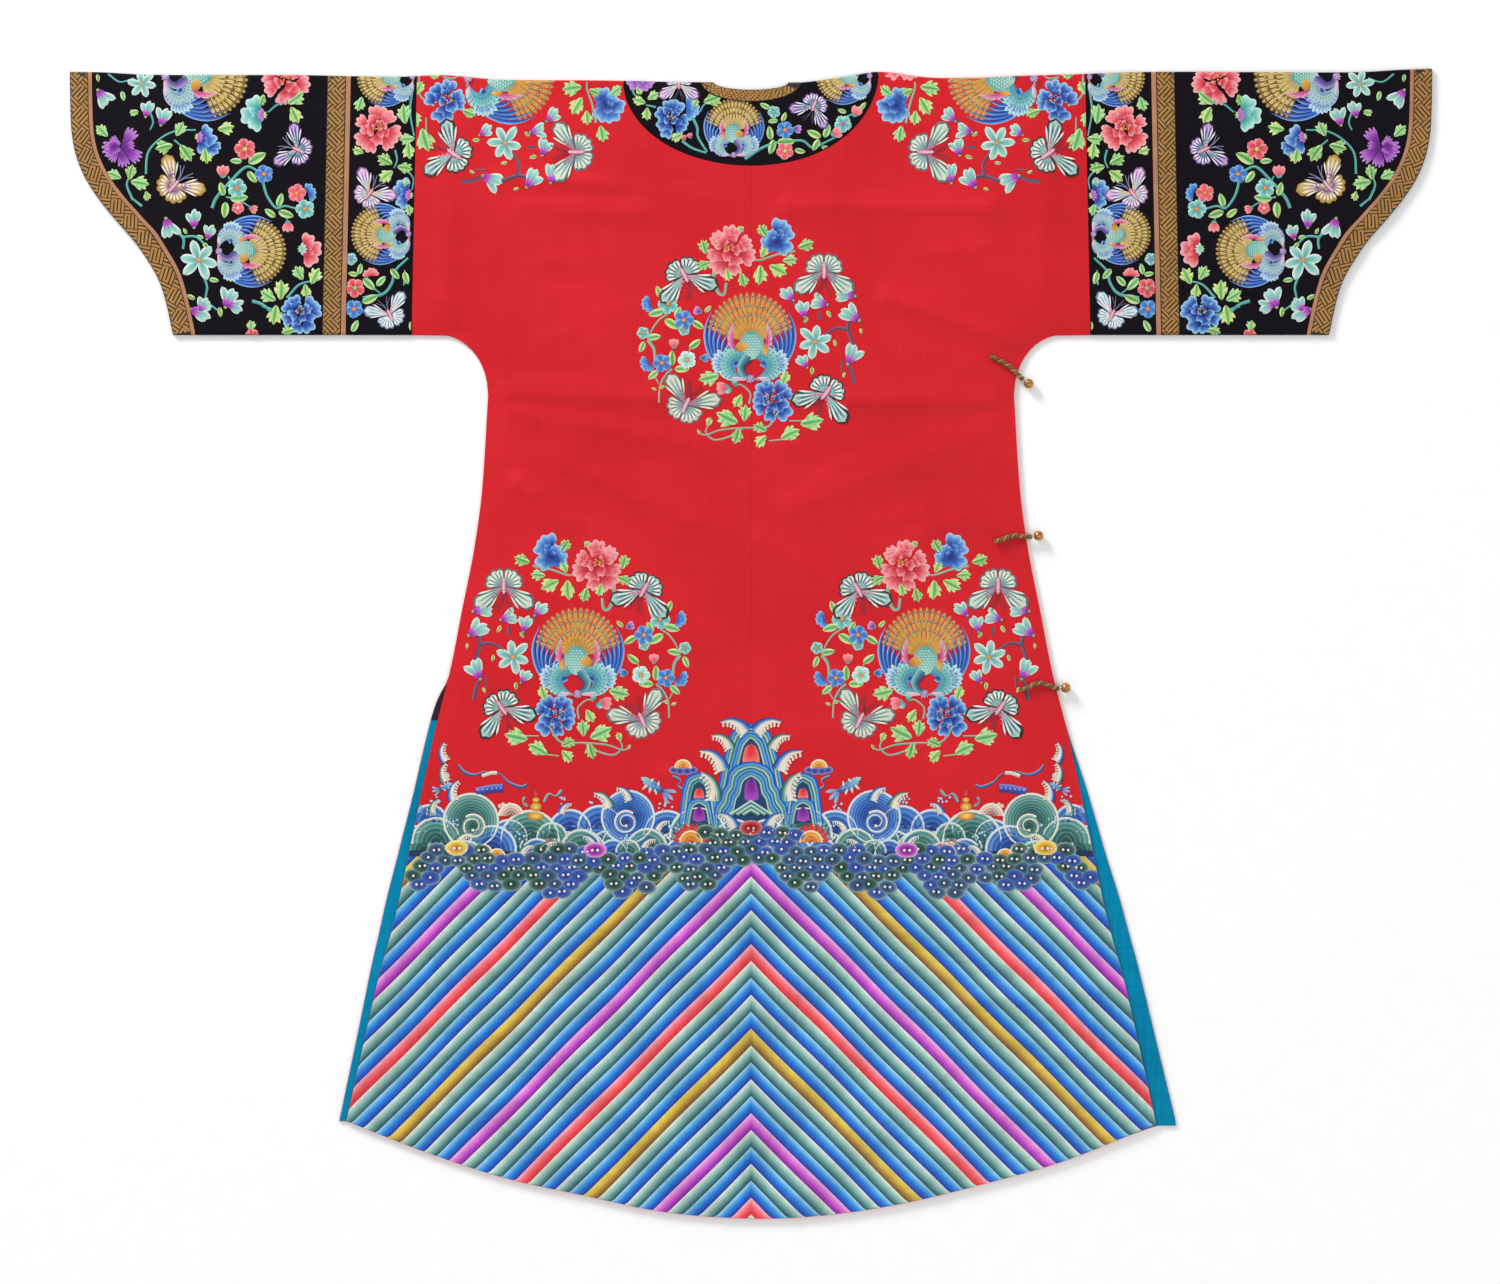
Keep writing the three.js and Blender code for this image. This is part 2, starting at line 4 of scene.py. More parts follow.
import bpy
import numpy as np
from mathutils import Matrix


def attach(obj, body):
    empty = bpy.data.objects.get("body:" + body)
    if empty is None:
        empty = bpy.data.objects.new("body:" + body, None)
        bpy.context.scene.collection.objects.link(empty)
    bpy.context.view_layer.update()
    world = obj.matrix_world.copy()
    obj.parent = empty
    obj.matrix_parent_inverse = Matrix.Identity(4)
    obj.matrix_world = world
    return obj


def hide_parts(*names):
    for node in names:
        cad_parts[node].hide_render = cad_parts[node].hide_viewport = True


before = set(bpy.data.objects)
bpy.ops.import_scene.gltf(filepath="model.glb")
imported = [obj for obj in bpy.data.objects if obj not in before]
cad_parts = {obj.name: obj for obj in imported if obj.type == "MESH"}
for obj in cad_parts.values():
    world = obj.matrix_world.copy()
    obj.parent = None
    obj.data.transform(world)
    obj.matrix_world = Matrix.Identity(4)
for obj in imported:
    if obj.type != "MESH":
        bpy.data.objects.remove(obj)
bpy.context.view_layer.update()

# Sizes of the part in millimetres, as in its own source
MM = 0.001
LENGTH = 1403.0
WALL = 1.4
SEAM = 0.3
SLEEVE_DEPTH = 316.0
SLIT_TOP = 757.0
LEVEL_INNER = WALL + SEAM
LEVEL_BACK = 2 * (WALL + SEAM)
FOLD = (LEVEL_BACK + WALL) / 2
ARMPIT_X, ARMPIT_DOWN, ARMPIT_WIDE, ARMPIT_HIGH = 382.5, 390.0, 59.0, 74.0
SIDE = [
    (390, 323.5), (507, 331), (581, 341), (654, 355.5), (728, 370), (802, 388.5),
    (922, 414.5), (1033, 438), (1110, 459), (1200, 479.5), (1284, 498),
]
FRONT_SHOWS = [
    (740, 0, 0), (765, 7, 0), (802, 9, 1), (876, 10, 9), (950, 13, 15), (1023, 16, 22),
    (1134, 11, 22), (1284, 9, 25),
]
HEM = [
    (-498, 1283), (-401, 1321), (-303, 1353), (-204, 1375), (-106, 1395), (0, 1403),
    (91, 1399), (189, 1384), (288, 1360), (386, 1332), (498, 1287),
]
CUFF_EDGE = [
    (0, 838), (50, 837), (76, 835), (101, 829), (125, 818), (150, 801.5), (175, 781),
    (199, 760), (224, 742.5), (248, 729), (273, 720.5), (316, 711),
]
SHOULDER_RISE = [
    (-838, 8), (-800, 7.5), (-740, 4.5), (-560, 4), (-432, 2), (-380, 4), (-309, -1.5),
    (-186, -2.5), (-87, -4.5), (60, -5), (85, -2.5), (122, 3), (159, 8), (220, 1),
    (282, 1), (343, 3.5), (410, 5.5), (500, 8), (740, 7.5), (800, 10.5), (838, 12),
]
RISE_FADES = 120.0
# The front's hem shows below the back's, and more so near the right corner
HEM_HALF, RIGHT_FROM = 498.0, 452.0
FRONT_HEM_SHOWS, FRONT_HEM_RIGHT = 0.6, 1.6
# The hidden inner front ends this much short of the back, at its hem and at its slit
INNER_FRONT_SHORT = 66.0
# The overlap's upper edge runs between these, and lifts the inner front as it comes this near
OVERLAP_TOP = (118, 394)
LIFT_STARTS, LIFT_ENDS = 84, 38
HIGHEST_RISE = 12.0
SHOULDER_Y = (LENGTH + FRONT_HEM_SHOWS - HIGHEST_RISE) / 2
SLEEVE_SLANT = 6.5
BODY_END, BAND_END, PIPING_END, RIBBON_END = 411.0, 492.0, 498.0, 521.0
CUFF_TRIM_WIDE, CUFF_RIBBON_WIDE = 27.0, 22.5
YOKE = (157.0, 107.0, 115.0)
NECK = (46.0, 9.5, 75.0)
NECK_TRIM_WIDE = 15.0
LINING_WALL, LINING_WIDE, LINING_EDGE, FACING_END = 1.0, 58.0, 0.3, 790.0
BUTTON_RADIUS, SHANK_LONG, CORD_RADIUS = 6.2, 2.6, 3.2
CORD_HEIGHT = LEVEL_BACK + WALL + SEAM + CORD_RADIUS
FASTENINGS = [
    (341.5, 376, 295, 342, 3), (353.5, 563, 300, 570, 4), (387, 750, 332, 752, 7),
]
# Folds pressed into the back: both ends, width and height
CREASES = [
    (48, 160, 294, 161, 15, 1.5), (-278, 160, -130, 164, 15, 0.9),
    (-374, 105, -372, 300, 15, 1.2), (364, 100, 362, 273, 15, 1.2),
    (171, 273, 312, 322, 15, 1.7), (-300, 388, -112, 396, 15, 1.6),
    (122, 398, 300, 398, 15, 1.7), (-290, 412, -63, 455, 20, 1.1),
    (-284, 500, -229, 552, 15, 1.6), (-229, 475, -38, 560, 24, 1.2),
    (60, 525, 294, 436, 24, 1.3), (11, 568, 103, 624, 13, 0.9),
    (257, 1138, 441, 1122, 16, 1.6), (220, 1240, 400, 1278, 16, 1.2),
    (-378, 1276, -235, 1245, 16, 1.5),
]
# One pixel of the 1500 x 1284 view is this wide, and the seam and the fold lie here
PIXEL, SEAM_PX, FOLD_PX = 1.23, 751.0, 78.0

rng = np.random.default_rng(11)


def clamp01(t):
    return np.clip(t, 0.0, 1.0)


def smoothstep(low, high, value):
    t = clamp01((value - low) / (high - low))
    return t * t * (3 - 2 * t)


def look_up(table, at, column=1):
    """Reads a table with a smooth curve through its rows."""
    rows = np.array(table, float)
    key, value = rows[:, 0], rows[:, column]
    place_of = np.arange(len(key))
    after = np.minimum(place_of + 1, len(key) - 1)
    before = np.maximum(place_of - 1, 0)
    slope = (value[after] - value[before]) / (key[after] - key[before])
    at = np.clip(at, key[0], key[-1])
    row = np.clip(np.searchsorted(key, at, "right") - 1, 0, len(key) - 2)
    step = key[row + 1] - key[row]
    t = (at - key[row]) / step
    a = (1 + 2 * t) * (1 - t) ** 2
    b = t * (1 - t) ** 2
    c = t * t * (3 - 2 * t)
    d = t * t * (t - 1)
    return a * value[row] + b * step * slope[row] + c * value[row + 1] + d * step * slope[row + 1]


def sleeve_seam(start, down):
    return start + SLEEVE_SLANT * clamp01(down / SLEEVE_DEPTH)


def body_half(down):
    """Half the back's width: the sleeve's seam, then the curve under the arm, then the side."""
    t = clamp01((ARMPIT_DOWN - down) / ARMPIT_HIGH)
    arm = ARMPIT_X - ARMPIT_WIDE * np.sqrt(1 - t * t)
    low = np.where(down >= ARMPIT_DOWN, look_up(SIDE, down), arm)
    return np.where(down <= SLEEVE_DEPTH, sleeve_seam(BODY_END, down), low)


def cuff_edge(down):
    return look_up(CUFF_EDGE, down)


def inside_cuff(down, width):
    """A line that keeps a width inwards from the cuff's edge."""
    slope = (cuff_edge(down + 4) - cuff_edge(down - 4)) / 8
    return cuff_edge(down) - width * np.sqrt(1 + slope * slope)


def back_hem(x):
    return look_up(HEM, x)


def front_hem(x):
    return back_hem(x) + FRONT_HEM_SHOWS + FRONT_HEM_RIGHT * smoothstep(RIGHT_FROM, HEM_HALF, x)


def front_half(side, down):
    return body_half(down) + look_up(FRONT_SHOWS, down, 1 if side < 0 else 2)


def from_edge(x, down):
    """How far inside the outline a point lies, below the shoulder."""
    half = np.abs(x)
    across = (ARMPIT_X - half) / ARMPIT_WIDE
    along = (ARMPIT_DOWN - down) / ARMPIT_HIGH
    reach = np.hypot(across, along) + 1e-9
    size = (ARMPIT_HIGH * along * along + ARMPIT_WIDE * across * across) / (reach * reach)
    arm = np.where(half >= ARMPIT_X, SLEEVE_DEPTH - down, (reach - 1) * size)
    return np.where(down >= ARMPIT_DOWN, body_half(down) - half, arm)


def ridge(fold, x, down):
    """The height of one crease: a soft ridge along a line, round at its ends."""
    x0, d0, x1, d1, wide, high = fold
    length = math.hypot(x1 - x0, d1 - d0)
    along = ((x - x0) * (x1 - x0) + (down - d0) * (d1 - d0)) / length
    off = ((x - x0) * (d1 - d0) - (down - d0) * (x1 - x0)) / length
    past = np.maximum(0, np.maximum(-along, along - length))
    return high * np.exp(-(off * off + past * past) / (wide * wide))


def crease_height(x, down):
    height = np.zeros(np.broadcast(x, down).shape)
    for fold in CREASES:
        height = np.maximum(height, ridge(fold, x, down))
    return height


def back_under(x, down):
    """Height of the back's under face: lower where its edge is sewn to the layer beneath."""
    edge = np.maximum(0, from_edge(x, down))
    lapped = np.where(x > 0, smoothstep(ARMPIT_DOWN - 60, ARMPIT_DOWN - 10, down), 0)
    sewn = LEVEL_INNER + (LEVEL_BACK - LEVEL_INNER) * lapped
    on_lining = LEVEL_INNER + LINING_WALL + SEAM
    slit = smoothstep(SLIT_TOP - 50, SLIT_TOP - 15, down)
    level = sewn + np.maximum(0, on_lining - sewn) * slit
    flat = level + (LEVEL_BACK - level) * smoothstep(0, 24, edge)
    return flat + crease_height(x, down) * smoothstep(6, 50, edge) * smoothstep(FOLD, 40, down)


def shoulder_y(x, down):
    fade = 1 - clamp01((down - FOLD) / RISE_FADES)
    return SHOULDER_Y + look_up(SHOULDER_RISE, x) * fade


def small_folds():
    """Fine creases of uneven length, depth and spacing, most of them lying across the robe."""
    folds = []
    for x0, x1, d0, d1, count, lean in (
        (-330, 330, 120, 330, 16, 8), (-310, 310, 330, 620, 30, 22), (-350, 350, 620, 800, 9, 14),
        (-420, 420, 800, 1330, 26, 25), (-400, -330, 60, 300, 5, 80), (330, 400, 60, 300, 5, 80),
        (-800, -420, 60, 290, 9, 40), (420, 800, 60, 290, 9, 40),
    ):
        for _ in range(count):
            middle = rng.uniform(x0, x1), rng.uniform(d0, d1)
            turn = math.radians(rng.normal(0, lean))
            reach = rng.uniform(18, 85) / 2
            dx, dd = reach * math.cos(turn), reach * math.sin(turn)
            wide, high = rng.uniform(7, 15), rng.uniform(0.45, 1.4) * rng.choice([1, 1, -0.7])
            folds.append((middle[0] - dx, middle[1] - dd, middle[0] + dx, middle[1] + dd, wide, high))
    return folds


SMALL_FOLDS = small_folds()


def relief(x, down):
    """What the upper face adds to the solid's: deeper folds, small creases and slow waves."""
    added = 1.5 * crease_height(x, down)
    for x0, d0, x1, d1, wide, high in CREASES:
        added = added - 0.6 * high * ridge((x0, d0 + 0.6 * wide, x1, d1 + 0.6 * wide, 5, 1), x, down)
    for fold in SMALL_FOLDS:
        added = added + ridge(fold, x, down)
    slow = np.sin(x / 61 + 1.3 * np.sin(down / 97)) * np.sin(down / 83 + np.sin(x / 140))
    added = added + 0.45 * slow + 0.15 * np.sin(x / 23 + down / 71) * np.sin(down / 31 - x / 90)
    edge = np.minimum(np.minimum(down, from_edge(x, down)), back_hem(x) - down)
    return added * smoothstep(3, 26, edge)


def place(x, s, depth, lift=0.0, fine=False):
    """Turns points of the unfolded pattern into points in space, in millimetres."""
    down = np.abs(s)
    turn = np.clip(s / FOLD, -1, 1) * math.pi / 2
    radius = FOLD - depth
    on_round = down < FOLD
    back_z = back_under(x, down) + WALL - depth
    if fine:
        back_z = back_z + relief(x, down)
    flat_z = np.where(s > 0, back_z, depth + lift)
    y = np.where(on_round, shoulder_y(x, 0 * x) - FOLD + radius * np.cos(turn), shoulder_y(x, down) - down)
    z = np.where(on_round, FOLD + radius * np.sin(turn), flat_z)
    return np.stack(np.broadcast_arrays(x, y, z), -1)


# Meshes


def mesh_object(name, points, faces, material, sharp=38):
    """An object from points in millimetres and lists of faces."""
    mesh = bpy.data.meshes.new(name)
    mesh.from_pydata((np.asarray(points, float) * MM).tolist(), [], faces)
    mesh.validate()
    mesh.shade_smooth()
    mesh.set_sharp_from_angle(angle=math.radians(sharp))
    mesh.materials.append(material)
    made = bpy.data.objects.new(name, mesh)
    bpy.context.collection.objects.link(made)
    return made


def grid_quads(index):
    """Faces between the points of a grid, from the points' numbers."""
    return np.stack([index[:-1, :-1], index[1:, :-1], index[1:, 1:], index[:-1, 1:]], -1).reshape(-1, 4)


def ring_index(rows, sides, base=0):
    """Numbers of the points of rings, with each ring's first point once more at its end."""
    index = base + np.arange(rows * sides).reshape(rows, sides)
    return np.hstack([index, index[:, :1]])


def headings(line, least=0.0):
    """Unit directions along a line, at each of its points."""
    ahead = np.gradient(line, axis=0)
    return ahead / (np.linalg.norm(ahead, axis=1)[:, None] + least)


def run_along(line):
    """How far along a line each of its points lies."""
    return np.concatenate([[0], np.cumsum(np.linalg.norm(np.diff(line, axis=0), axis=1))])


def polar(radius, degrees):
    a = math.radians(degrees)
    return radius * math.cos(a), radius * math.sin(a)


def shell_faces(rows, cols, wrap):
    """Faces of a closed shell between two grids of points."""
    index = np.arange(rows * cols).reshape(rows, cols)
    if wrap:
        index = np.vstack([index, index[:1]])
    over = rows * cols
    a, b, c, d = index[:-1, :-1], index[:-1, 1:], index[1:, 1:], index[1:, :-1]
    faces = [np.stack([a, b, c, d], -1).reshape(-1, 4)]
    faces.append(np.stack([a, d, c, b], -1).reshape(-1, 4) + over)
    first, last = index[:, 0], index[:, -1]
    faces.append(np.stack([first[:-1], first[1:], first[1:] + over, first[:-1] + over], -1))
    faces.append(np.stack([last[:-1], last[:-1] + over, last[1:] + over, last[1:]], -1))
    if not wrap:
        top, low = index[0], index[-1]
        faces.append(np.stack([top[:-1], top[:-1] + over, top[1:] + over, top[1:]], -1))
        faces.append(np.stack([low[:-1], low[1:], low[1:] + over, low[:-1] + over], -1))
    return np.vstack(faces)


def cloth(name, outer, inner, nodes, material, wrap=False):
    """A closed shell of cloth that stands for its solids."""
    rows, cols = outer.shape[:2]
    faces = shell_faces(rows, cols, wrap)
    points = np.vstack([outer.reshape(-1, 3), inner.reshape(-1, 3)])
    a, b, c, d = (points[faces[:, k]] for k in range(4))
    mid = (a + b + c + d) / 4
    normal = np.cross(c - a, d - b)
    if (mid * normal).sum() < 0:
        faces = faces[:, ::-1]
    made = mesh_object(name, points, faces.tolist(), material, 50)
    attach(made, "root")
    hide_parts(*nodes)
    return made


def ellipse_cut(angles, sign):
    """Points round the hole in which the collar lies: how far out, and how far down."""
    wide, back, front = YOKE
    high = back if sign > 0 else front
    inner = np.maximum(SEAM / 2, (wide + SEAM) * np.cos(angles))
    return inner, sign * (high + SEAM) * np.sin(angles)


def rows_of_half(sign, pitch, hem_line):
    """Rows of half a body on one face: each has its inner edge and how far down it runs."""
    rows = []
    angles = np.radians(np.linspace(1.4, 90, max(14, int(150 / pitch))))
    inner, s = ellipse_cut(angles, sign)
    rows += [(a, float(b), None) for a, b in zip(inner, s)]
    start = abs(rows[-1][1])
    for down in np.linspace(start, SLEEVE_DEPTH, max(2, round((SLEEVE_DEPTH - start) / pitch)))[1:]:
        rows.append((SEAM / 2, sign * down, None))
    arm = [316.5, 317.5, 319.5, 323, 328, 335, 343, 352, 362, 374]
    rows += [(SEAM / 2, sign * down, None) for down in arm]
    for down in np.linspace(ARMPIT_DOWN, SLIT_TOP, round((SLIT_TOP - ARMPIT_DOWN) / pitch)):
        rows.append((SEAM / 2, sign * down, None))
    for t in np.linspace(0, 1, round((LENGTH - SLIT_TOP) / pitch))[1:]:
        rows.append((SEAM / 2, sign, (hem_line, t)))
    return rows


def row_points(row, side, outline, across, lift, fine):
    """One row of both faces of half a body, from the centre seam to its outline."""
    inner, s, sloped = row

    def along(x):
        if sloped is None:
            return np.full(np.shape(x), s)
        hem_line, t = sloped
        return s * (SLIT_TOP + (hem_line(x) - SLIT_TOP) * t)

    end = outline(np.abs(along(np.array(side * inner))))
    for _ in range(12):
        end = outline(np.abs(along(side * end)))
    # Where the arm ends, only the outer columns follow the outline's step
    held = min(float(np.max(end)), ARMPIT_X) if sloped is None and abs(s) <= SLEEVE_DEPTH else end
    x = side * (inner + (held - inner) * across + (end - held) * clamp01((across - 0.9) / 0.1))
    s_at = along(x)
    lifted = lift(x, np.abs(s_at))
    return x, s_at, place(x, s_at, 0.0, lifted, fine), place(x, s_at, WALL, lifted)


def overlap_top(x):
    return OVERLAP_TOP[0] + (OVERLAP_TOP[1] - OVERLAP_TOP[0]) * smoothstep(-60, 324, x) ** 1.3


def inner_front_lift(x, down):
    return LEVEL_INNER * clamp01((LIFT_STARTS - (overlap_top(x) - down)) / (LIFT_STARTS - LIFT_ENDS))


def no_lift(x, _):
    return 0 * x


# At the end, the pieces sewn on are listed with the cloth they rest on
# A strip narrower than this is declared with the cloth beside it. A strip narrower than
# this takes its mean width as its widest
NARROW = 10.0


def body_piece(side, word, material):
    columns = np.linspace(0, 1, 84) ** 0.93
    crossed = side > 0

    def front_outline(down):
        if not crossed:
            return front_half(side, down)
        return body_half(down) - INNER_FRONT_SHORT * smoothstep(SLIT_TOP - 140, SLIT_TOP - 30, down)

    front_line = (lambda x: back_hem(x) - INNER_FRONT_SHORT) if crossed else front_hem
    lift = inner_front_lift if crossed else no_lift
    back = rows_of_half(1, 5.2, back_hem)[::-1]
    front = rows_of_half(-1, 11, front_line)
    fold = [(YOKE[0] + SEAM, t * FOLD, None) for t in (1, 0.66, 0.33, 0, -0.33, -0.66, -1)]
    # The back and the front meet at the fold in one grid, so both have the same columns
    made = [row_points(row, side, body_half, columns, no_lift, True) for row in back]
    made += [row_points(row, side, body_half, columns, no_lift, False) for row in fold]
    made += [row_points(row, side, front_outline, columns, lift, False) for row in front]
    x, s, outer, inner = (np.array([row[k] for row in made]) for k in range(4))
    piece = cloth(f"silk_body_{word}", outer, inner, [f"body_{word}"], material)
    return piece


def overlap_piece(material):
    across = np.linspace(0, 1, 46)
    rows = []
    for t in np.linspace(0, 1, 100):
        def along(x, t=t):
            return -(overlap_top(x) + (front_hem(x) - overlap_top(x)) * t)
        end = front_half(1, 500.0)
        for _ in range(14):
            end = front_half(1, np.maximum(np.abs(along(end)), ARMPIT_DOWN))
        x = SEAM / 2 + (end - SEAM / 2) * across
        s = along(x)
        rows.append((x, s, place(x, s, 0.0), place(x, s, WALL)))
    x, s, outer, inner = (np.array([row[k] for row in rows]) for k in range(4))
    piece = cloth("silk_front", outer, inner, ["overlap_front"], material)


def collar_piece(name, node, inside, outside, material, cells):
    """A ring of cloth round the neck, folded over the shoulders."""
    quarter = np.radians(np.concatenate([[0], np.linspace(1.4, 90, 34)]))
    turn = np.concatenate([
        quarter[:-1], (math.pi - quarter)[::-1], (math.pi + quarter)[1:-1],
        (2 * math.pi - quarter)[1:][::-1],
    ])[:, None]
    t = np.linspace(0, 1, cells + 1)[None, :]
    back = np.sin(turn) >= 0
    wide = inside[0] + (outside[0] - inside[0]) * t
    tall = np.where(back, inside[1] + (outside[1] - inside[1]) * t, inside[2] + (outside[2] - inside[2]) * t)
    x, s = wide * np.cos(turn), tall * np.sin(turn)
    made = cloth(name, place(x, s, 0.0, 0, True), place(x, s, WALL), [node], material, True)
    return made


def sleeve_under(x, down):
    edge = np.minimum(down, SLEEVE_DEPTH - down)
    return LEVEL_BACK + crease_height(x, down) * smoothstep(FOLD, 40, edge)


def sleeve_piece(name, node, side, start, end, cells, material):
    """A flattened ring of cloth round a sleeve."""
    flats = np.concatenate([[0, 0.008, 0.02], np.linspace(0.035, 0.965, 62), [0.98, 0.992, 1]])
    coarse = flats[::3][::-1]
    span = SLEEVE_DEPTH - 2 * FOLD
    loop = [("back", FOLD + span * t) for t in flats]
    loop += [("low", t * math.pi / 2) for t in (0.66, 0.33, 0, -0.33, -0.66)]
    loop += [("front", FOLD + span * t) for t in coarse]
    loop += [("top", t * math.pi / 2) for t in (-0.66, -0.33, 0, 0.33, 0.66)]
    t = np.linspace(0, 1, cells + 1)
    faces = []
    for depth in (0.0, WALL):
        rows = []
        for kind, at in loop:
            radius = FOLD - depth
            if kind in ("back", "front"):
                down = at
            elif kind == "low":
                down = SLEEVE_DEPTH - FOLD + radius * math.cos(at)
            else:
                down = FOLD - radius * math.cos(at)
            held = float(np.clip(down, 0, SLEEVE_DEPTH))
            x = side * (start(held) + (end(held) - start(held)) * t)
            y = shoulder_y(x, down) - down
            if kind == "back":
                z = sleeve_under(x, held) + WALL - depth + relief(x, held) * (depth == 0)
            elif kind == "front":
                z = np.full(x.shape, depth)
            else:
                z = np.full(x.shape, FOLD + radius * math.sin(at))
            rows.append(np.stack([x, y, z], -1))
        faces.append(np.array(rows))
    made = cloth(name, faces[0], faces[1], [node], material, True)
    width = float(np.mean([end(d) - start(d) for d in np.linspace(0, SLEEVE_DEPTH, 60)]))
    widest = max(float(end(d)) for d in np.linspace(0, SLEEVE_DEPTH, 60)) - float(start(0.0))
    if width / widest > 0.97 or width < NARROW:
        widest = width
    return made


def slit_piece(name, node, side, start, end, material, steps):
    """A strip along the front's edge at a slit."""
    inwards = LINING_WIDE * np.linspace(1, 0, 9)[None, :]
    t = np.linspace(0, 1, steps)[:, None]
    low = start + (end - start) * t + 0 * inwards
    for _ in range(6):
        x = side * (front_half(side, low) - LINING_EDGE - inwards)
        low = start + (np.minimum(end, front_hem(x) - LINING_EDGE) - start) * t
    y = SHOULDER_Y - low
    outer = np.stack([x, y, np.full(x.shape, LEVEL_INNER + LINING_WALL)], -1)
    inner = np.stack([x, y, np.full(x.shape, LEVEL_INNER)], -1)
    made = cloth(name, outer, inner, [node], material)
    return made


# Materials


def linear(code):
    """A colour code such as c81e28 as linear red, green and blue."""
    parts = np.array([int(code[k:k + 2], 16) for k in (0, 2, 4)]) / 255
    return np.where(parts <= 0.04045, parts / 12.92, ((parts + 0.055) / 1.055) ** 2.4)


def rgba(code):
    return (*linear(code), 1.0)


class Nodes:
    """Short calls for a material's node tree."""

    def __init__(self, name):
        self.material = bpy.data.materials.new(name)
        self.material.use_nodes = True
        self.tree = self.material.node_tree
        self.tree.nodes.clear()
        self.skin = self.add("ShaderNodeBsdfPrincipled")
        self.link(self.skin.outputs["BSDF"], self.add("ShaderNodeOutputMaterial").inputs["Surface"])

    def add(self, kind, **values):
        node = self.tree.nodes.new(kind)
        for key, value in values.items():
            setattr(node, key, value)
        return node

    def link(self, a, b):
        self.tree.links.new(a, b)

    def set(self, node, **values):
        for key, value in values.items():
            node.inputs[key.replace("_", " ")].default_value = value
        return node

    def math(self, kind, a, b):
        node = self.add("ShaderNodeMath", operation=kind)
        for socket, value in zip(node.inputs, (a, b)):
            if isinstance(value, (int, float)):
                socket.default_value = value
            else:
                self.link(value, socket)
        return node.outputs[0]

    def mix(self, share, a, b, kind="MIX"):
        node = self.add("ShaderNodeMix", data_type="RGBA", blend_type=kind)
        for socket, value in zip((node.inputs[0], node.inputs[6], node.inputs[7]), (share, a, b)):
            if isinstance(value, (int, float, tuple)):
                socket.default_value = value
            else:
                self.link(value, socket)
        return node.outputs[2]

    def position(self, stretch=(1, 1, 1), turn=0.0):
        where = self.add("ShaderNodeTexCoord").outputs["Object"]
        moved = self.add("ShaderNodeMapping")
        moved.inputs["Scale"].default_value = stretch
        moved.inputs["Rotation"].default_value = (0, 0, turn)
        self.link(where, moved.inputs["Vector"])
        return moved.outputs["Vector"]

    def noise(self, vector, scale, detail):
        node = self.add("ShaderNodeTexNoise")
        self.set(node, Scale=scale, Detail=detail, Roughness=0.55)
        self.link(vector, node.inputs["Vector"])
        return node.outputs["Fac"]

    def wave(self, vector, pitch, direction="X", distort=0.0):
        """Bands a given distance apart, in the units of the vector."""
        node = self.add("ShaderNodeTexWave", bands_direction=direction)
        self.set(node, Scale=math.pi / (10 * pitch), Distortion=distort, Detail=1.0)
        self.link(vector, node.inputs["Vector"])
        return node.outputs["Fac"]

    def range(self, value, low, high, to_low, to_high):
        node = self.add("ShaderNodeMapRange")
        self.link(value, node.inputs["Value"])
        for key, number in zip(("From Min", "From Max", "To Min", "To Max"), (low, high, to_low, to_high)):
            node.inputs[key].default_value = number
        return node.outputs["Result"]

    def blend(self, *parts):
        """The sum of values, each times its share."""
        total = None
        for value, share in parts:
            part = self.math("MULTIPLY", value, share)
            total = part if total is None else self.math("ADD", total, part)
        return total

    def paint(self, tone, low, high, dark, light):
        share = self.range(tone, low, high, 0, 1)
        self.link(self.mix(share, rgba(dark), rgba(light)), self.skin.inputs["Base Color"])

    def roughen(self, value, low, high, to_low, to_high):
        self.link(self.range(value, low, high, to_low, to_high), self.skin.inputs["Roughness"])

    def bump(self, height, distance, strength):
        node = self.add("ShaderNodeBump")
        self.set(node, Distance=distance, Strength=strength)
        self.link(height, node.inputs["Height"])
        self.link(node.outputs["Normal"], self.skin.inputs["Normal"])


# The threads of the silk's weave lie this far apart, in metres
WEAVE = 0.00042


def silk(name, dark, light, rough, sheen, tint, streak=0.4, gloss=0.2):
    """Plain-woven silk: fine threads both ways, faint streaks along the warp, slow changes of tone."""
    n = Nodes(name)
    where = n.position()
    threads = n.math("MULTIPLY", n.wave(where, WEAVE), n.wave(where, WEAVE * 1.15, "Y"))
    streaks = n.noise(n.position((260, 9, 1)), 1.0, 2.0)
    slubs = n.noise(n.position((7, 210, 1)), 1.0, 2.0)
    slow = n.noise(where, 6.0, 3.0)
    tone = n.blend((n.blend((streaks, streak), (slow, 1 - streak)), 0.8), (slubs, 0.2))
    n.paint(tone, 0.34, 0.66, dark, light)
    n.roughen(slow, 0.3, 0.7, rough - 0.05, rough + 0.06)
    n.set(n.skin, Sheen_Weight=sheen, Sheen_Roughness=0.4, Sheen_Tint=rgba(tint), Specular_IOR_Level=gloss)
    n.bump(n.math("ADD", threads, n.math("MULTIPLY", slubs, 0.6)), 0.00006, 0.6)
    return n.material


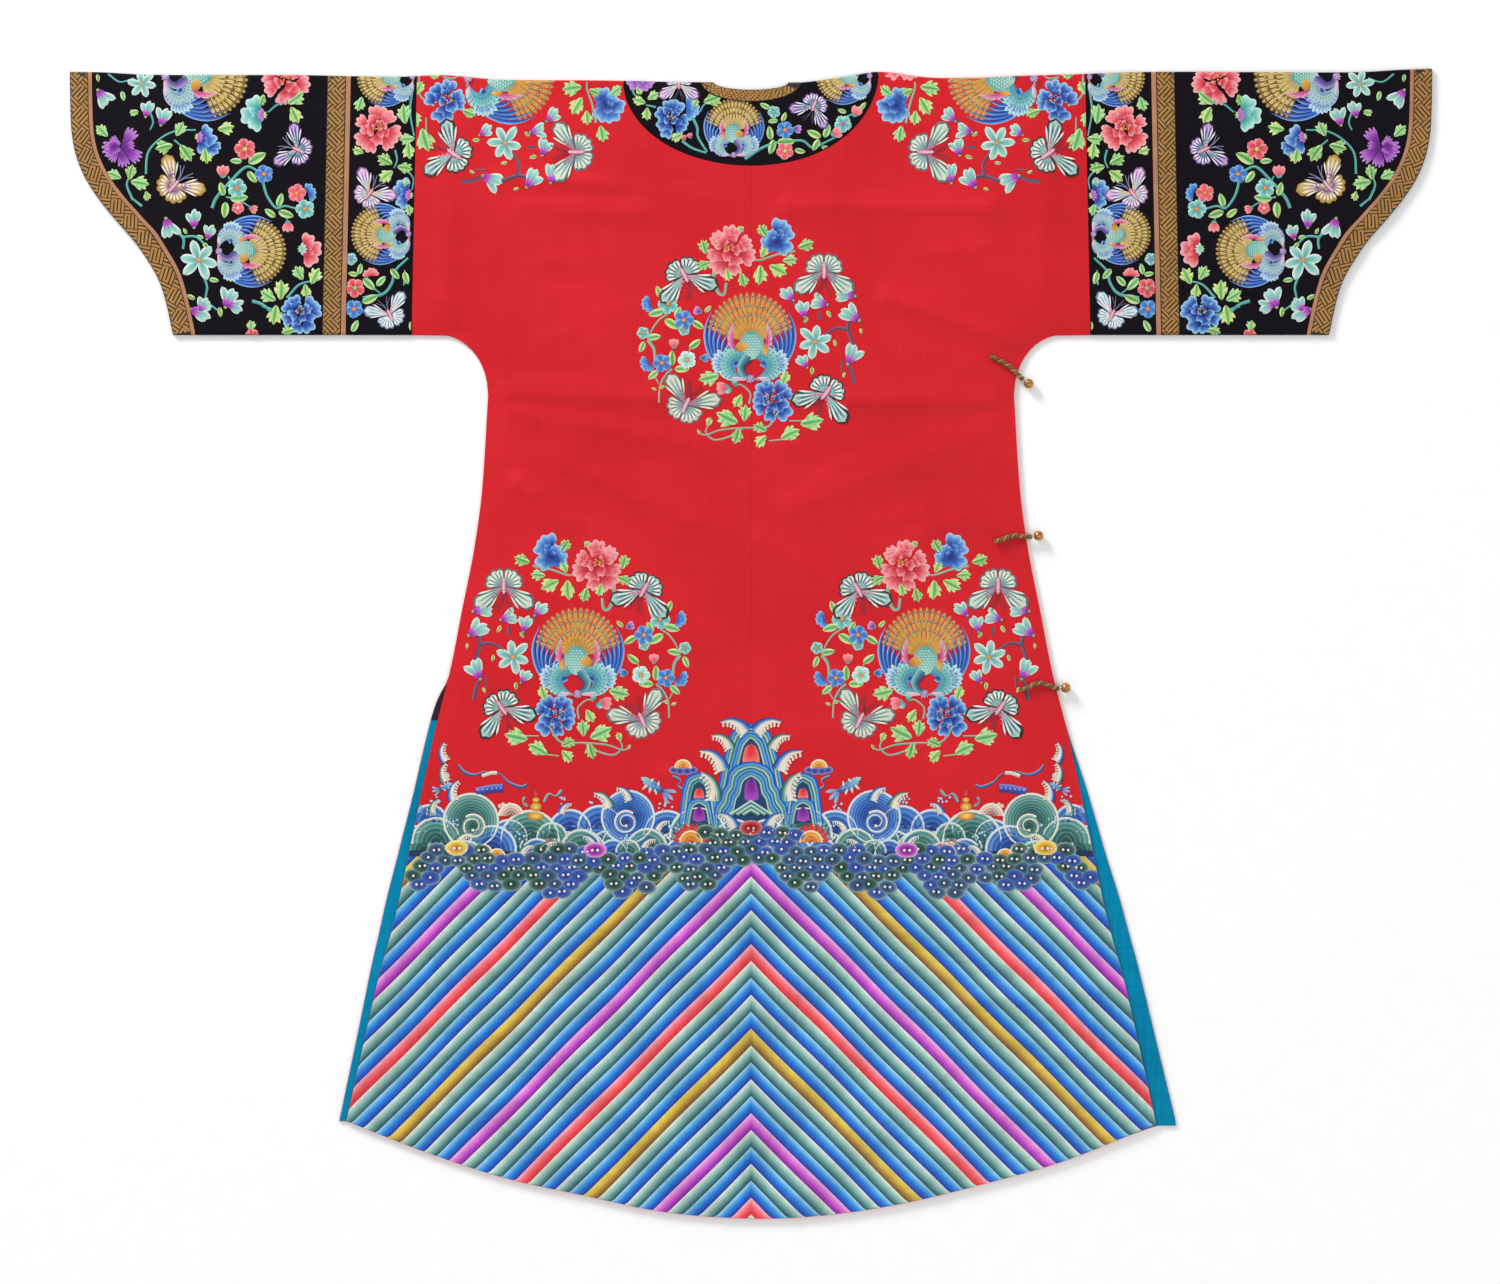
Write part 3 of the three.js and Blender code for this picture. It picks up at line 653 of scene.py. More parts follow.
def embroidery(name):
    """Silk thread in satin stitch. Each stitch's colour is on the mesh, and its direction in the map."""
    n = Nodes(name)
    colour = n.add("ShaderNodeVertexColor", layer_name="tint").outputs["Color"]
    along = n.add("ShaderNodeUVMap", uv_map="thread").outputs["UV"]
    threads = n.wave(along, 0.42, "X", 0.6)
    fibres = n.noise(n.position(), 900.0, 2.0)
    patch = n.noise(n.position(), 55.0, 3.0)
    shade = n.math("ADD", n.blend((threads, 0.22), (fibres, 0.14), (patch, 0.22)), 0.64)
    grey = n.add("ShaderNodeCombineColor")
    for socket in grey.inputs[:3]:
        n.link(shade, socket)
    n.link(n.mix(1.0, colour, grey.outputs[0], "MULTIPLY"), n.skin.inputs["Base Color"])
    n.roughen(threads, 0, 1, 0.5, 0.36)
    n.set(n.skin, Sheen_Weight=0.08, Sheen_Roughness=0.35, Specular_IOR_Level=0.28)
    n.bump(threads, 0.00012, 0.7)
    return n.material


def metal(name, dark, light, rough):
    """Worn metal with a few scratches and patches of darker tone."""
    n = Nodes(name)
    scratches = n.noise(n.position((2400, 300, 900)), 1.0, 2.0)
    n.paint(n.noise(n.position(), 420.0, 4.0), 0.35, 0.65, dark, light)
    n.roughen(scratches, 0.3, 0.7, rough - 0.08, rough + 0.14)
    n.set(n.skin, Metallic=1.0)
    n.bump(scratches, 0.00005, 0.4)
    return n.material


def yarn(name, dark, light, pitch, rough=0.7):
    """Fine yarn or braid with bands of stitches."""
    n = Nodes(name)
    where = n.position()
    bands = n.wave(n.position((1, 1, 1), 0.7), pitch, "X", 1.0)
    fuzz = n.noise(where, 700.0, 3.0)
    slow = n.noise(where, 30.0, 2.0)
    tone = n.blend((bands, 0.45), (fuzz, 0.25), (slow, 0.35))
    n.paint(tone, 0.25, 0.8, dark, light)
    n.roughen(fuzz, 0.3, 0.7, rough - 0.08, rough + 0.08)
    n.set(n.skin, Sheen_Weight=0.08, Sheen_Roughness=0.5)
    n.bump(tone, 0.00018, 0.7)
    return n.material


RED = silk("red_silk_cloth", "c0101b", "d21a25", 0.5, 0.08, "ff6a60", streak=0.25)
BLACK = silk("black_silk_cloth", "06030a", "0e0812", 0.6, 0.0, "6a6076", gloss=0.1)
LINING = silk("turquoise_silk", "006c92", "038ab2", 0.5, 0.0, "a8e0f0", gloss=0.05)
FACING = silk("dark_facing", "14101a", "241c2a", 0.6, 0.1, "8a7f96")
GROUND = yarn("ribbon_ground", "120a04", "26180a", 0.0009)
GOLD = yarn("ribbon_gold", "7e541a", "c28c38", 0.0006, 0.5)
PIPING = yarn("piping_braid", "8a5238", "c48e62", 0.0012, 0.6)
CORD = yarn("cord_twist", "5c401c", "c0904e", 0.0007, 0.7)
PLY = yarn("cord_dark_ply", "3c2a14", "8c6634", 0.0007, 0.7)
THREAD = embroidery("embroidery_silk")
BRASS = metal("worn_brass", "966636", "d8a060", 0.3)
SILVER = metal("shank_silver", "b4b4b2", "e4e0d8", 0.26)


# Pieces of cloth
def slant(start):
    return lambda down: sleeve_seam(start, down)


def inset(width):
    return lambda down: inside_cuff(down, width)


RINGS = (
    ("sleeve_band", slant(BODY_END + SEAM), slant(BAND_END), 20, "black_silk", BLACK),
    ("sleeve_piping", slant(BAND_END + SEAM), slant(PIPING_END), 4, "piping", PIPING),
    ("sleeve_ribbon", slant(PIPING_END + SEAM), slant(RIBBON_END), 6, "gold_ribbon", GROUND),
    ("cuff", slant(RIBBON_END + SEAM), inset(CUFF_TRIM_WIDE + SEAM), 60, "black_silk", BLACK),
    ("cuff_piping", inset(CUFF_TRIM_WIDE), inset(CUFF_RIBBON_WIDE), 4, "piping", PIPING),
    ("cuff_ribbon", inset(CUFF_RIBBON_WIDE - SEAM), inset(0), 6, "gold_ribbon", GROUND),
)
for side, word in ((-1, "left"), (1, "right")):
    body_piece(side, word, RED)
    for ring, start, end, cells, slot, material in RINGS:
        name = f"{ring}_{word}"
        sleeve_piece(f"{name}_cloth", name, side, start, end, cells, material)
    end = max(float(front_hem(side * (HEM_HALF - part * LINING_WIDE))) for part in (0.5, 1)) - LINING_EDGE
    slit_piece(f"slit_facing_{word}_cloth", f"slit_facing_{word}", side, SLIT_TOP - 10, FACING_END,
               FACING, 8)
    slit_piece(f"lining_{word}_cloth", f"lining_{word}", side, FACING_END + SEAM, end,
               LINING, 90)
overlap_piece(RED)
grown = tuple(size + NECK_TRIM_WIDE for size in NECK)
collar_piece("collar_silk", "collar_yoke", tuple(size + SEAM for size in grown), YOKE,
             BLACK, 24)
collar_piece("neck_ribbon_cloth", "neck_ribbon", NECK, grown, GROUND, 6)

# Embroidery: patches of thread, drawn in pixels of the view from above


# How high thread lies over the cloth, what each tier adds, and how far a patch's edge sinks
THREAD_LIFT, TIER_LIFT, EDGE_SINKS = 0.1, 0.2, 0.12
# Thread stays this far from the folded edges
OFF_EDGE = 0.35
# No sleeve reaches this far down
BELOW_SLEEVES = 600


def down_at(x, y):
    """How far down the robe a point of the view from above lies."""
    down = SHOULDER_Y - y
    for _ in range(4):
        down = shoulder_y(x, down) - y
    return down


def surface(x, y):
    """Height of the upper face under points of the view from above, and their y on the robe."""
    down = np.maximum(down_at(x, y), OFF_EDGE)
    y = shoulder_y(x, down) - down
    sleeve = (np.abs(x) > sleeve_seam(BODY_END, down)) & (down < BELOW_SLEEVES)
    down_held = np.where(sleeve, np.minimum(down, SLEEVE_DEPTH - OFF_EDGE), down)
    under = np.where(sleeve, sleeve_under(x, down_held), back_under(x, down_held))
    flat = under + WALL + relief(x, down_held)
    edge = np.where(sleeve, np.minimum(down_held, SLEEVE_DEPTH - down_held), down_held)
    turn = np.sqrt(np.maximum(0, 1 - np.square(1 - np.minimum(edge, FOLD) / FOLD)))
    return np.where(edge < FOLD, FOLD * (1 + turn), flat), y + down - down_held


# Each of these keeps thread a few tenths of a millimetre inside its own cloth


def hold_body(x, down):
    limit = body_half(down) - 0.3
    x = np.clip(x, -limit, limit)
    return x, np.minimum(down, back_hem(x) - 0.3)


def hold_band(x, down):
    reach = np.clip(np.abs(x), sleeve_seam(BODY_END + SEAM, down) + 0.6, sleeve_seam(BAND_END, down) - 0.4)
    return np.sign(x) * reach, down


def hold_cuff(x, down):
    inner = sleeve_seam(RIBBON_END + SEAM, down) + 0.5
    return np.sign(x) * np.clip(np.abs(x), inner, inside_cuff(down, CUFF_TRIM_WIDE) - 0.6), down


def hold_collar(x, down):
    outward = 0.99 / np.hypot(x / YOKE[0], down / YOKE[1])
    inward = 1.03 / np.hypot(x / (NECK[0] + NECK_TRIM_WIDE), down / (NECK[1] + NECK_TRIM_WIDE))
    size = np.maximum(np.minimum(1, outward), inward)
    return x * size, down * size


def tones(*codes):
    return np.array([linear(code) for code in codes])


def ramp(colours, t):
    """Colours at shares t of the way through a row of them."""
    t, colours = np.asarray(t, float), np.asarray(colours)
    if len(colours) == 1:
        return np.broadcast_to(colours[0], t.shape + (3,))
    at = clamp01(t) * (len(colours) - 1)
    low = np.minimum(at.astype(int), len(colours) - 2)
    part = (at - low)[..., None]
    return colours[low] * (1 - part) + colours[low + 1] * part


class Panel:
    """Collects the patches of one piece of embroidery, then makes one mesh of them."""

    # A corner that was moved further than this, in millimetres, lay off the cloth
    MOVED = 0.02
    # A face smaller than this is left out
    LEAST_FACE = 1e-4

    def __init__(self, name, slot, hold):
        self.name, self.slot, self.hold = name, slot, hold
        self.parts, self.count = [], 0

    def lay(self, xy, lift, colour, along):
        rows, cols = xy.shape[:2]
        index = self.count + np.arange(rows * cols).reshape(rows, cols)
        flat = np.broadcast_to(colour, (rows, cols, 3)).reshape(-1, 3)
        self.parts.append((xy.reshape(-1, 2), np.broadcast_to(lift, (rows, cols)).reshape(-1),
                           flat, along.reshape(-1, 2), grid_quads(index)))
        self.count += rows * cols

    def make(self):
        xy, lift, colour, along, quads = (np.concatenate([part[k] for part in self.parts]) for k in range(5))
        x = (xy[:, 0] - SEAM_PX) * PIXEL
        y = SHOULDER_Y - (xy[:, 1] - FOLD_PX) * PIXEL
        x_on, down = self.hold(x, down_at(x, y))
        z, y_on = surface(x_on, shoulder_y(x_on, down) - down)
        # A face with every corner off its cloth is left out
        moved = np.hypot(x_on - x, y_on - y) > self.MOVED
        points = np.stack([x_on, y_on, z + lift], -1)
        quads = quads[~moved[quads].all(1)]
        a, b, c, d = (points[quads[:, k]] for k in range(4))
        up = (c - a)[:, 0] * (d - b)[:, 1] - (c - a)[:, 1] * (d - b)[:, 0]
        quads[up < 0] = quads[up < 0][:, ::-1]
        quads = quads[np.abs(up) > self.LEAST_FACE]
        used = np.unique(quads)
        renumber = np.zeros(len(points), int)
        renumber[used] = np.arange(len(used))
        made = mesh_object(self.name, points[used], renumber[quads].tolist(), THREAD, 70)
        mesh = made.data
        tint = mesh.color_attributes.new("tint", "FLOAT_COLOR", "POINT")
        tint.data.foreach_set("color", np.column_stack([colour[used], np.ones(len(used))]).ravel())
        layer = mesh.uv_layers.new(name="thread")
        corner = np.zeros(len(mesh.loops), np.int32)
        mesh.loops.foreach_get("vertex_index", corner)
        layer.data.foreach_set("uv", along[used][corner].ravel())
        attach(made, "root")
        return made


class Pen:
    """Draws on a panel in its own turned, scaled and shifted units."""

    def __init__(self, panel, x=0.0, y=0.0, turn=0.0, size=1.0, flip=False, tier=0.0):
        a = math.radians(turn)
        self.panel, self.tier, self.size = panel, tier, size
        self.to = size * np.array([[math.cos(a), -math.sin(a)], [math.sin(a), math.cos(a)]])
        if flip:
            self.to = self.to @ np.diag([-1.0, 1.0])
        self.at = np.array([x, y], float)

    def child(self, x, y, turn=0.0, size=1.0, flip=False, tier=0.0):
        made = Pen(self.panel, 0, 0, turn, size, flip, self.tier + tier)
        made.to = self.to @ made.to
        made.at = self.at + self.to @ np.array([x, y], float)
        made.size = self.size * size
        return made

    def lay(self, xy, dome, colour, along, tier=0.0):
        world = xy @ self.to.T + self.at
        lift = THREAD_LIFT + TIER_LIFT * (self.tier + tier) + dome
        self.panel.lay(world, lift, colour, along * self.size * PIXEL)


def smooth_line(points, count):
    """A Catmull-Rom curve through points."""
    p = np.array(points, float)
    p = np.vstack([2 * p[0] - p[1], p, 2 * p[-1] - p[-2]])
    at = np.linspace(0, len(p) - 3 - 1e-9, count)
    k = at.astype(int)
    t = (at - k)[:, None]
    a, b, c, d = p[k], p[k + 1], p[k + 2], p[k + 3]
    return 0.5 * (2 * b + (c - a) * t + (2 * a - 5 * b + 4 * c - d) * t**2 + (3 * b - a - 3 * c + d) * t**3)


def band(pen, line, half, colours, tier=0.0, dome=0.3, cols=4, way="across", rim=None, lie="across"):
    """A band of stitches along a line, with its half width at each point."""
    line = np.asarray(line, float)
    half = np.broadcast_to(half, (len(line),))
    ahead = headings(line, 1e-9)
    aside = np.stack([-ahead[:, 1], ahead[:, 0]], -1)
    v = np.linspace(-1, 1, cols + 1)
    reach = run_along(line)
    u = reach / max(reach[-1], 1e-9)
    xy = line[:, None] + aside[:, None] * (v[None, :] * half[:, None])[..., None]
    crown = dome * np.sqrt(np.maximum(0, 1 - v * v))[None, :] - EDGE_SINKS * (np.abs(v) > 0.99)
    share = np.broadcast_to((v + 1) / 2 if way == "across" else u[:, None], (len(line), cols + 1))
    colour = ramp(colours, share)
    if rim is not None:
        edge = (np.abs(v) ** 3)[None, :, None] * np.ones((len(line), 1, 1))
        colour = colour * (1 - edge) + np.asarray(rim) * edge
    wide, long = v[None, :] * half[:, None], np.broadcast_to(reach[:, None], (len(line), cols + 1))
    along = np.stack([long, wide] if lie == "across" else [wide, long], -1)
    pen.lay(xy, crown, colour, along, tier)


def petal(pen, x, y, turn, length, wide, colours, rim=None, shape=(0.6, 0.6), bend=0.0, tier=0.0,
          dome=0.35, rows=7, cols=4):
    """A petal from its base at x, y; shape says how full it is at its base and at its tip."""
    u = np.linspace(0, 1, rows + 1)
    a, b = shape
    full = u**a * (1 - u) ** b
    half = np.maximum(full / full.max(), 0.05) * wide / 2
    line = np.stack([u * length, bend * length * u * u], -1)
    band(pen.child(x, y, turn), line, half, colours, tier, dome, cols, "along", rim, "along")


def fan(pen, x, y, turn, spread, inner, outer, colours, lobes=3, deep=0.12, tier=0.0, dome=0.35,
        rows=4, cols=10, rim=None, power=1.0):
    """A broad petal that opens from a point, with a lobed edge."""
    w = np.linspace(0, 1, cols + 1)[None, :]
    t = np.linspace(0, 1, rows + 1)[:, None]
    a = np.radians(turn + spread * (w - 0.5))
    lobed = 1 - deep * (1 - np.abs(np.sin(lobes * math.pi * w)))
    edge = outer * lobed * (1 - 0.16 * np.abs(2 * w - 1) ** 4)
    r = inner + (edge - inner) * t
    xy = np.stack([x + r * np.cos(a), y + r * np.sin(a)], -1)
    crown = dome * np.sin(math.pi * np.minimum(t + 0.1, 1)) * (1 - (2 * w - 1) ** 4) - EDGE_SINKS * (t > 0.99)
    colour = ramp(colours, t**power + 0 * w)
    if rim is not None:
        edge = (t**7)[..., None] * np.ones((1, cols + 1, 1))
        colour = colour * (1 - edge) + np.asarray(rim) * edge
    pen.lay(xy, crown, colour, np.stack([np.radians(spread) * (w - 0.5) * outer + 0 * t, r], -1), tier)


def disc(pen, x, y, radius, colours, squash=1.0, turn=0.0, tier=0.0, dome=0.3, rows=3, cols=12):
    """A round or oval pad of stitches, with its colours from the middle outwards."""
    t = np.linspace(0.04, 1, rows + 1)[:, None]
    a = np.linspace(0, 2 * math.pi, cols + 1)[None, :]
    flat = np.stack([t * np.cos(a) * radius, t * np.sin(a) * radius * squash], -1)
    c, s = math.cos(math.radians(turn)), math.sin(math.radians(turn))
    xy = flat @ np.array([[c, s], [-s, c]]) + np.array([x, y])
    crown = dome * np.sqrt(1 - t * t) - EDGE_SINKS * (t > 0.99) + 0 * a
    pen.lay(xy, crown, ramp(colours, t + 0 * a), np.stack([flat[..., 0], flat[..., 1]], -1), tier)


LEAF_TONES = [
    tones("f0f0ac", "bce084", "4f9f54", "8ccc70", "e4ec98"),
    tones("dcecaa", "9cd884", "46955a", "9cdc8c", "ecf0b4"),
    tones("d4e494", "84c470", "358550", "b4e084", "f2f0b0"),
]
STEM = tones("9cc7b0", "5f9f8c")
STEM_TEAL = tones("6fc0b4", "2f8f8c")
TWIG = tones("6d5f80", "43384f")
DARK_VEIN = tones("2f7d4c")


def leaf(pen, x, y, turn, length, lobed=True, tier=0.0):
    """A leaf round its middle: cut into pointed lobes as a peony's, or plain and pointed."""
    pick = LEAF_TONES[rng.integers(len(LEAF_TONES))]
    bend = rng.uniform(-0.16, 0.16)
    if not lobed or length < 8:
        rows = 8 if length > 8 else 5
        u = np.linspace(0, 1, rows + 1)
        full = u**0.55 * (1 - u) ** 0.7
        half = np.maximum(full / full.max(), 0.06) * length * 0.24
        line = np.stack([(u - 0.5) * length, bend * length * (u * u - 0.3)], -1)
        here = pen.child(x, y, turn)
        band(here, line, half, pick, tier, 0.3, 4, "across", None, "along")
        if length > 8:
            band(here, line[1:-1], 0.3, DARK_VEIN, tier + 1.3, 0.05, 1, "across")
        return
    here = pen.child(x, y, turn, length)
    for k, (from_x, from_y, angle, reach) in enumerate((
        (-0.26, 0.05, 33, 0.52), (-0.26, -0.05, -33, 0.5), (-0.04, 0.05, 24, 0.46), (-0.04, -0.05, -24, 0.44),
    )):
        petal(here, from_x, from_y, angle + rng.uniform(-5, 5), reach * rng.uniform(0.88, 1.12), 0.24,
              pick[[2, 1, 0]], None, (0.5, 0.8), 0.12 if angle > 0 else -0.12, tier + 0.3 * (k // 2),
              0.25, 5, 3)
    u = np.linspace(0, 1, 10)
    full = u**0.6 * (1 - u) ** 0.75
    line = np.stack([u - 0.5, bend * (u * u - 0.3)], -1)
    band(here, line, np.maximum(full / full.max(), 0.04) * 0.2, pick, tier + 0.8, 0.3, 4, "across", None,
         "along")
    band(here, line[1:-2], 0.013, DARK_VEIN, tier + 1.9, 0.05, 1, "across")


def stem(pen, wide, points, colours):
    line = smooth_line(points, 5 * len(points))
    band(pen, line, wide * np.linspace(1.1, 0.75, len(line)), colours, 0.0, 0.25, 3)


PINK = tones("b3122a", "d9384a", "f0707a", "f9a9ab")
PALE_PINK = tones("f9b8b8")
BLUE = tones("16226e", "2450b0", "3f86d4", "8cc4ec")
PALE_BLUE = tones("a8d4f0")
PURPLE = tones("4c1470", "7e2ba4", "b070cc", "dcb4e4")
TEAL = tones("1f7f86", "52b2b0", "8fd6cc", "cdeee2")
WHITE_TEAL = tones("5fb4b0", "9ad8cf", "d4efe4", "f4f8ec")
BUD_TONES = tones("3f9a98", "72bcb4", "b4dcd0")
ORANGE = tones("f6c060", "e88a30", "d45a20")
MAGENTA = tones("7a1a8c", "b446c0", "d68ad8")


def peony(pen, x, y, radius, colours, rim, tier=0.0, spin=0.0, lobes=3):
    """A full flower: broad cut petals that overlap unevenly towards a dark, dotted middle."""
    here = pen.child(x, y, spin, radius, tier=tier)
    for ring, (count, start, reach, wide) in enumerate((
        (7, 0.30, 0.72, 74), (5, 0.20, 0.58, 84), (4, 0.10, 0.45, 100),
    )):
        for k in range(count):
            a = 360 / count * k + ring * 31 + rng.uniform(-13, 13)
            r = reach * rng.uniform(0.78, 1.12)
            dx, dy = polar(start, a)
            fan(here, dx, dy - 0.07 * ring, a, wide * rng.uniform(0.85, 1.15), 0.02, r, colours, lobes, 0.15,
                0.9 * ring + 0.35 * (k % 2), 0.35, 5, 4 * lobes, rim, 1.4 if lobes > 2 else 2.0)
    for k in range(3):
        a = 40 + 120 * k + rng.uniform(-20, 20)
        fan(here, 0.02, -0.16, a, 60, 0.02, 0.27, colours, 2, 0.2, 3.0 + 0.3 * k, 0.25, 3, 6, rim, 1.3)
    for k in range(12):
        a, r = rng.uniform(0, 2 * math.pi), 0.2 * math.sqrt(rng.uniform(0, 1))
        disc(here, r * math.cos(a), r * math.sin(a) - 0.16, 0.032, tones("f4d070", "d89030"),
             tier=4.4, dome=0.15, rows=1, cols=6)


def carnation(pen, x, y, radius, colours, rim, tier=0.0):
    """A ragged flower of a few long serrated petals."""
    here = pen.child(x, y, 0, radius, tier=tier)
    for k, (a, reach, wide) in enumerate(((-52, 1.0, 46), (32, 1.05, 44), (80, 0.92, 44), (128, 0.8, 40),
                                          (-12, 0.62, 50), (172, 0.86, 62), (222, 0.62, 50))):
        fan(here, 0, 0, a, wide, 0.03, reach, colours, 4, 0.22, 0.5 * (k % 3), 0.35, 5, 12, rim, 1.4)
    for k in range(3):
        fan(here, -0.3, -0.02, 60 + 120 * k, 90, 0.02, 0.36, colours, 5, 0.25, 2 + 0.4 * k, 0.3, 3, 10,
            rim, 1.2)


def side_flower(pen, x, y, turn, radius, colours, rim=None, calyx=None, tier=0.0):
    """A flower seen from its side: cut fans that open one way from a small calyx."""
    here = pen.child(x, y, turn, radius, tier=tier)
    for layer, (angles, reach) in enumerate((((-62, 0, 60), 1.0), ((-34, 30), 0.76), ((-4,), 0.52))):
        for a in angles:
            fan(here, -0.45, 0, a + rng.uniform(-6, 6), 64, 0.04, reach * 1.35 * rng.uniform(0.84, 1.08),
                colours, 2, 0.14, 0.8 * layer, 0.3, 4, 9, rim, 1.7)
    if calyx is not None:
        for a in (-70, -35, 0, 35, 70):
            petal(here, -0.66, 0, a, 0.5, 0.2, calyx, calyx[-1], tier=2.6, rows=4, cols=2)
        for a in (150, 180, 210):
            petal(here, -0.5, 0, a, 0.42, 0.14, LEAF_TONES[0][[0, 3]], tier=2.2, rows=3, cols=2)


def plum(pen, x, y, radius, colours, tier, middle=ORANGE):
    """Five round petals, a ring of dots and a small round middle."""
    here = pen.child(x, y, rng.uniform(0, 72), radius, tier=tier)
    for k in range(5):
        turned = here.child(0, 0, 72 * k)
        petal(turned, 0.06, 0, 0, 0.94, 0.86, colours[:-1], colours[-1], (0.55, 0.28),
              tier=0.3 * (k % 2), rows=5)
    disc(here, 0, 0, 0.27, middle, tier=1.8, rows=2, cols=8)
    for k in range(6):
        disc(here, *polar(0.4, 60 * k + 12), 0.055, tones("f0d890"), tier=1.9, dome=0.1, rows=1, cols=5)


def magnolia(pen, x, y, radius, turn=0.0, tier=0.0):
    """An open flower of six pointed petals."""
    here = pen.child(x, y, turn, radius, tier=tier)
    for k in range(6):
        long = rng.uniform(0.9, 1.1)
        petal(here, 0, 0, 60 * k + rng.uniform(-7, 7), long, 0.48, BUD_TONES, WHITE_TEAL[3], (0.8, 0.6), 0.08,
              0.4 * (k % 2), rows=8)
    disc(here, 0, 0, 0.2, ORANGE, 0.6, 20, 1.6, rows=2, cols=8)


def magnolia_bud(pen, x, y, turn, size, tier=0.0):
    """A closed flower: pale petals that rise out of a purple cup."""
    here = pen.child(x, y, turn, size, tier=tier)
    for k, a in enumerate((-27, 24, -3)):
        petal(here, -0.3, 0, a, rng.uniform(1.1, 1.35), 0.56, BUD_TONES, WHITE_TEAL[3], (0.6, 0.5),
              0.14 * (k - 1), 0.5 * k, rows=7)
    for k, a in enumerate((-30, 28, 0)):
        petal(here, -0.5, 0, a, 0.72, 0.34, MAGENTA, None, (0.4, 0.9), 0, 1.4 + 0.4 * k, rows=5)
    disc(here, -0.55, 0, 0.14, tones("b8c878", "7a9050"), tier=2.8, rows=1, cols=6)


def bud(pen, x, y, turn, size, colours, tier=0.0):
    here = pen.child(x, y, turn, size, tier=tier)
    for k, a in enumerate((-26, 26, 0)):
        petal(here, -0.5, 0, a, 1.3, 0.7, colours, colours[-1], (0.5, 0.45), 0, 0.4 * k, rows=5)
    for a in (-40, 40):
        petal(here, -0.7, 0, a, 0.6, 0.25, STEM_TEAL, tier=1.6, rows=3, cols=2)


def butterfly(pen, x, y, turn, size, wing, edge, dots, lean=0.0, tier=0.0, feeler="8a3040"):
    """A butterfly that faces along the turn, with long fore wings and a scalloped cap of hind wings."""
    here = pen.child(x, y, turn, size, tier=tier)
    edge, dots = tones(edge), tones(dots)
    for side_of in (-1, 1):
        a = side_of * (132 + lean * side_of)
        fan(here, 0.0, side_of * 0.04, a, 104, 0.03, 0.72, edge, 4, 0.12, 0, 0.1, 3, 12)
        fan(here, 0.0, side_of * 0.04, a, 97, 0.05, 0.65, wing, 4, 0.12, 0.6, 0.25, 4, 12, None, 0.8)
        for k in range(11):
            b = math.radians(a + (k - 5) * 8.6)
            pale = k % 2 == 0
            petal(here, 0.28 * math.cos(b), side_of * 0.04 + 0.28 * math.sin(b), math.degrees(b), 0.32,
                  0.085 if pale else 0.035, dots if pale else edge, None, (0.8, 0.3), 0, 1.9 if pale else 2.2,
                  0.12, 3, 2)
        a = side_of * (50 + lean * side_of)
        petal(here, 0.0, side_of * 0.03, a, 1.32, 0.56, edge, None, (0.85, 0.3), side_of * 0.1, 2.4, 0.1,
              9, 4)
        petal(here, 0.03, side_of * 0.04, a, 1.22, 0.45, wing, None, (0.85, 0.3), side_of * 0.1, 3.0,
              0.2, 9, 4)
        for k in range(9):
            b = math.radians(a + (k - 4) * 5.2)
            reach, pale = 1.14 - 0.035 * (k - 4) ** 2 / 4, k % 2 == 0
            petal(here, 0.4 * math.cos(b), side_of * 0.04 + 0.4 * math.sin(b), math.degrees(b), reach - 0.4,
                  0.07 if pale else 0.03, dots if pale else edge, None, (0.8, 0.3), side_of * 0.05,
                  4.0 if pale else 4.3, 0.12, 4, 2)
        for k in range(3):
            disc(here, 0.2 + 0.1 * k, side_of * (0.16 + 0.12 * k), 0.06, wing[:1], 1, 0, 4.6, 0.12, 1, 6)
        for k in range(2):
            line = smooth_line([(0.26, side_of * 0.03), (0.55, side_of * (0.08 + 0.05 * k)),
                                (0.92 - 0.1 * k, side_of * (0.24 + 0.14 * k))], 8)
            band(here, line, 0.017, tones(feeler), 4.6, 0.1, 1)
    line = smooth_line([(-0.34, 0), (0.0, 0.01), (0.3, 0)], 9)
    band(here, line, 0.1 * np.sin(np.linspace(0.35, 2.8, 9)), tones("a82860", "f0c8d4", "a82860"), 5.2,
         0.4, 4)
    for k in range(4):
        disc(here, -0.22 + 0.14 * k, 0, 0.055, tones("f4f0e0", "d8a0b0"), 1.5, 0, 6.4, 0.15, 1, 6)


def plume(pen, x, y, turn, length, wide, colours, tier):
    """A long feather that widens from its root to a round end."""
    u = np.array([0, 0.35, 0.7, 0.86, 0.93, 0.975, 0.995])
    full = np.array([0.12, 0.5, 0.92, 1.0, 0.86, 0.55, 0.12])
    line = np.stack([u * length, 0 * u], -1)
    band(pen.child(x, y, turn), line, full * wide / 2, colours, tier, 0.25, 3, "along", None, "along")


# The round bird's gold, outline, rims, eyes, wing arm, marks and neck, on red and on black silk
BIRD_ON_RED = (
    tones("a8661c", "bc8430", "cc9c48"), tones("b04a38", "c85438"), tones("e4c468", "d8a444"),
    tones("1f4a6a", "3f8a86", "a8c89a"), tones("b8dcd8", "68b8b0", "4088b0"), tones("1c4a8c", "4f8ac4"),
    tones("8ac4bc", "3f7f94", "2a2f5c"),
)
BIRD_ON_BLACK = (
    tones("9a7028", "b89444", "d4bc74"), tones("5a3f14", "7a5c24"), tones("f0e4b0", "dcc070"),
    tones("8a6428", "6a4a1c"), tones("a8b8d8", "a9d0c8", "7aa8b8"), tones("4a4a8c", "8a90c4"),
    tones("b8a8d8", "6a5aa0", "33306a"),
)


